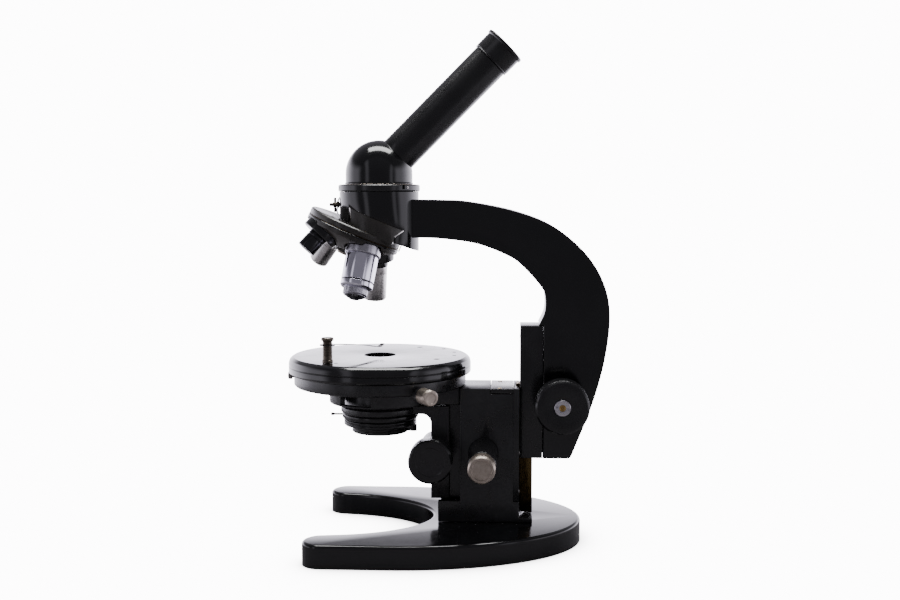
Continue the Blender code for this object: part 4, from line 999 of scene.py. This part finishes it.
def make_studio():
    bm = bmesh.new()
    bmesh.ops.create_circle(bm, cap_ends=True, segments=96, radius=FLOOR_R)
    mesh = bpy.data.meshes.new("floor")
    bm.to_mesh(mesh)
    bm.free()
    floor = bpy.data.objects.new("floor", mesh)
    floor.location.z = -0.0002
    bpy.context.scene.collection.objects.link(floor)
    paper = bpy.data.materials.new("paper")
    paper.use_nodes = True
    tree = paper.node_tree
    shader = tree.nodes["Principled BSDF"]
    shader.inputs["Base Color"].default_value = (0.22, 0.21, 0.22, 1)
    shader.inputs["Roughness"].default_value = 0.6
    shader.inputs["Specular IOR Level"].default_value = 0.2
    # The paper's glow for the camera is dimmed by ambient occlusion near the instrument: a painted contact shadow
    # around the foot.
    occlusion_for_painted_shadow = tree.nodes.new("ShaderNodeAmbientOcclusion")
    occlusion_for_painted_shadow.samples = 12
    occlusion_for_painted_shadow.inputs["Distance"].default_value = 0.06
    painted_contact_shadow = tree.nodes.new("ShaderNodeMapRange")
    tree.links.new(occlusion_for_painted_shadow.outputs["AO"], painted_contact_shadow.inputs["Value"])
    for name, number in (("From Min", 0.35), ("From Max", 0.97), ("To Min", 0.06 * WHITE),
                         ("To Max", WHITE)):
        painted_contact_shadow.inputs[name].default_value = number
    glow = tree.nodes.new("ShaderNodeEmission")
    glow.inputs["Color"].default_value = (1.0, 0.985, 1.0, 1)
    tree.links.new(painted_contact_shadow.outputs[0], glow.inputs["Strength"])
    tree.links.new(seen_only(tree, glow.outputs[0], shader.outputs[0]),
                   tree.nodes["Material Output"].inputs["Surface"])
    mesh.materials.append(paper)
    floor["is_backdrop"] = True

    world = bpy.data.worlds.new("studio")
    bpy.context.scene.world = world
    world.use_nodes = True
    tree = world.node_tree
    # What the metal and the enamel mirror: dim in front, white paper at the sides and behind it,
    # fading upwards, and two soft panels to the left and right of the observer.
    around = tree.nodes["Background"]
    around.inputs["Color"].default_value = (0.96, 0.93, 1.04, 1)
    coords = tree.nodes.new("ShaderNodeTexCoord")
    parts = tree.nodes.new("ShaderNodeSeparateXYZ")
    tree.links.new(coords.outputs["Generated"], parts.inputs[0])

    def ramp(value, low, high, start, end):
        node = tree.nodes.new("ShaderNodeMapRange")
        node.interpolation_type = "SMOOTHSTEP"
        tree.links.new(value, node.inputs["Value"])
        for name, number in (("From Min", low), ("From Max", high), ("To Min", start), ("To Max", end)):
            node.inputs[name].default_value = number
        return node.outputs[0]

    def both(operation, a, b):
        node = tree.nodes.new("ShaderNodeMath")
        node.operation = operation
        tree.links.new(a, node.inputs[0])
        tree.links.new(b, node.inputs[1])
        return node.outputs[0]

    front = ramp(parts.outputs["Y"], -0.60, -0.35, 0.22, 0.0)
    sides = ramp(parts.outputs["Y"], -0.58, -0.30, 0.0, 1.7)
    behind = ramp(parts.outputs["Y"], -0.1, 0.8, 0.0, 2.8)
    height = ramp(parts.outputs["Z"], 0.14, 0.45, 1.0, 0.10)
    strength = both("ADD", both("MULTIPLY", both("ADD", sides, behind), height), front)
    facing = ramp(parts.outputs["Y"], -0.45, -0.58, 0.0, 0.8)
    for low, rise, fall, high in ((-0.68, -0.62, -0.52, -0.46), (0.66, 0.71, 0.78, 0.83)):
        panel = both("MULTIPLY", ramp(parts.outputs["X"], low, rise, 0.0, 1.0),
                     ramp(parts.outputs["X"], fall, high, 1.0, 0.0))
        strength = both("ADD", strength, both("MULTIPLY", panel, facing))
    tree.links.new(strength, around.inputs["Strength"])
    white = tree.nodes.new("ShaderNodeBackground")
    white.inputs["Color"].default_value = (1.0, 0.985, 1.0, 1)
    white.inputs["Strength"].default_value = WHITE
    tree.links.new(seen_only(tree, white.outputs[0], around.outputs[0]),
                   tree.nodes["World Output"].inputs["Surface"])

    lights = (
        # name, location, target, size, watts
        ("top", (0.0, 0.08, 1.15), (0.0, 0.03, 0.12), (0.9, 0.32), 17.0),
    )
    for name, place, target, (width, height), power in lights:
        data = bpy.data.lights.new(name, "AREA")
        data.shape = "RECTANGLE"
        data.size, data.size_y = width, height
        data.energy = power
        lamp = bpy.data.objects.new(name, data)
        lamp.location = place
        lamp.rotation_euler = (Vector(target) - Vector(place)).to_track_quat("-Z", "Y").to_euler()
        bpy.context.scene.collection.objects.link(lamp)

    camera = bpy.data.objects.new("camera", bpy.data.cameras.new("camera"))
    camera.data.lens = 45.6
    camera.data.sensor_width = 36.0
    camera.data.clip_start = 0.01
    camera.location = (OPTIC_X + 0.0867, -0.7565, 0.231)
    camera.rotation_euler = (math.radians(90 - 5.27), 0.0, math.radians(3.0))
    bpy.context.scene.collection.objects.link(camera)
    bpy.context.scene.camera = camera


make_base()
make_pillar()
make_fine_focus()
make_limb()
make_coarse_focus()
make_head()
make_nosepiece()
make_objectives()
make_clamp_screw()
make_inclined_head()
make_stage()
make_clip()
make_substage()
make_studio()


def plain(value):
    return [plain(v) for v in value] if hasattr(value, "__len__") else float(value)


{"cad": plain(cad_box), "visual": plain(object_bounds())}
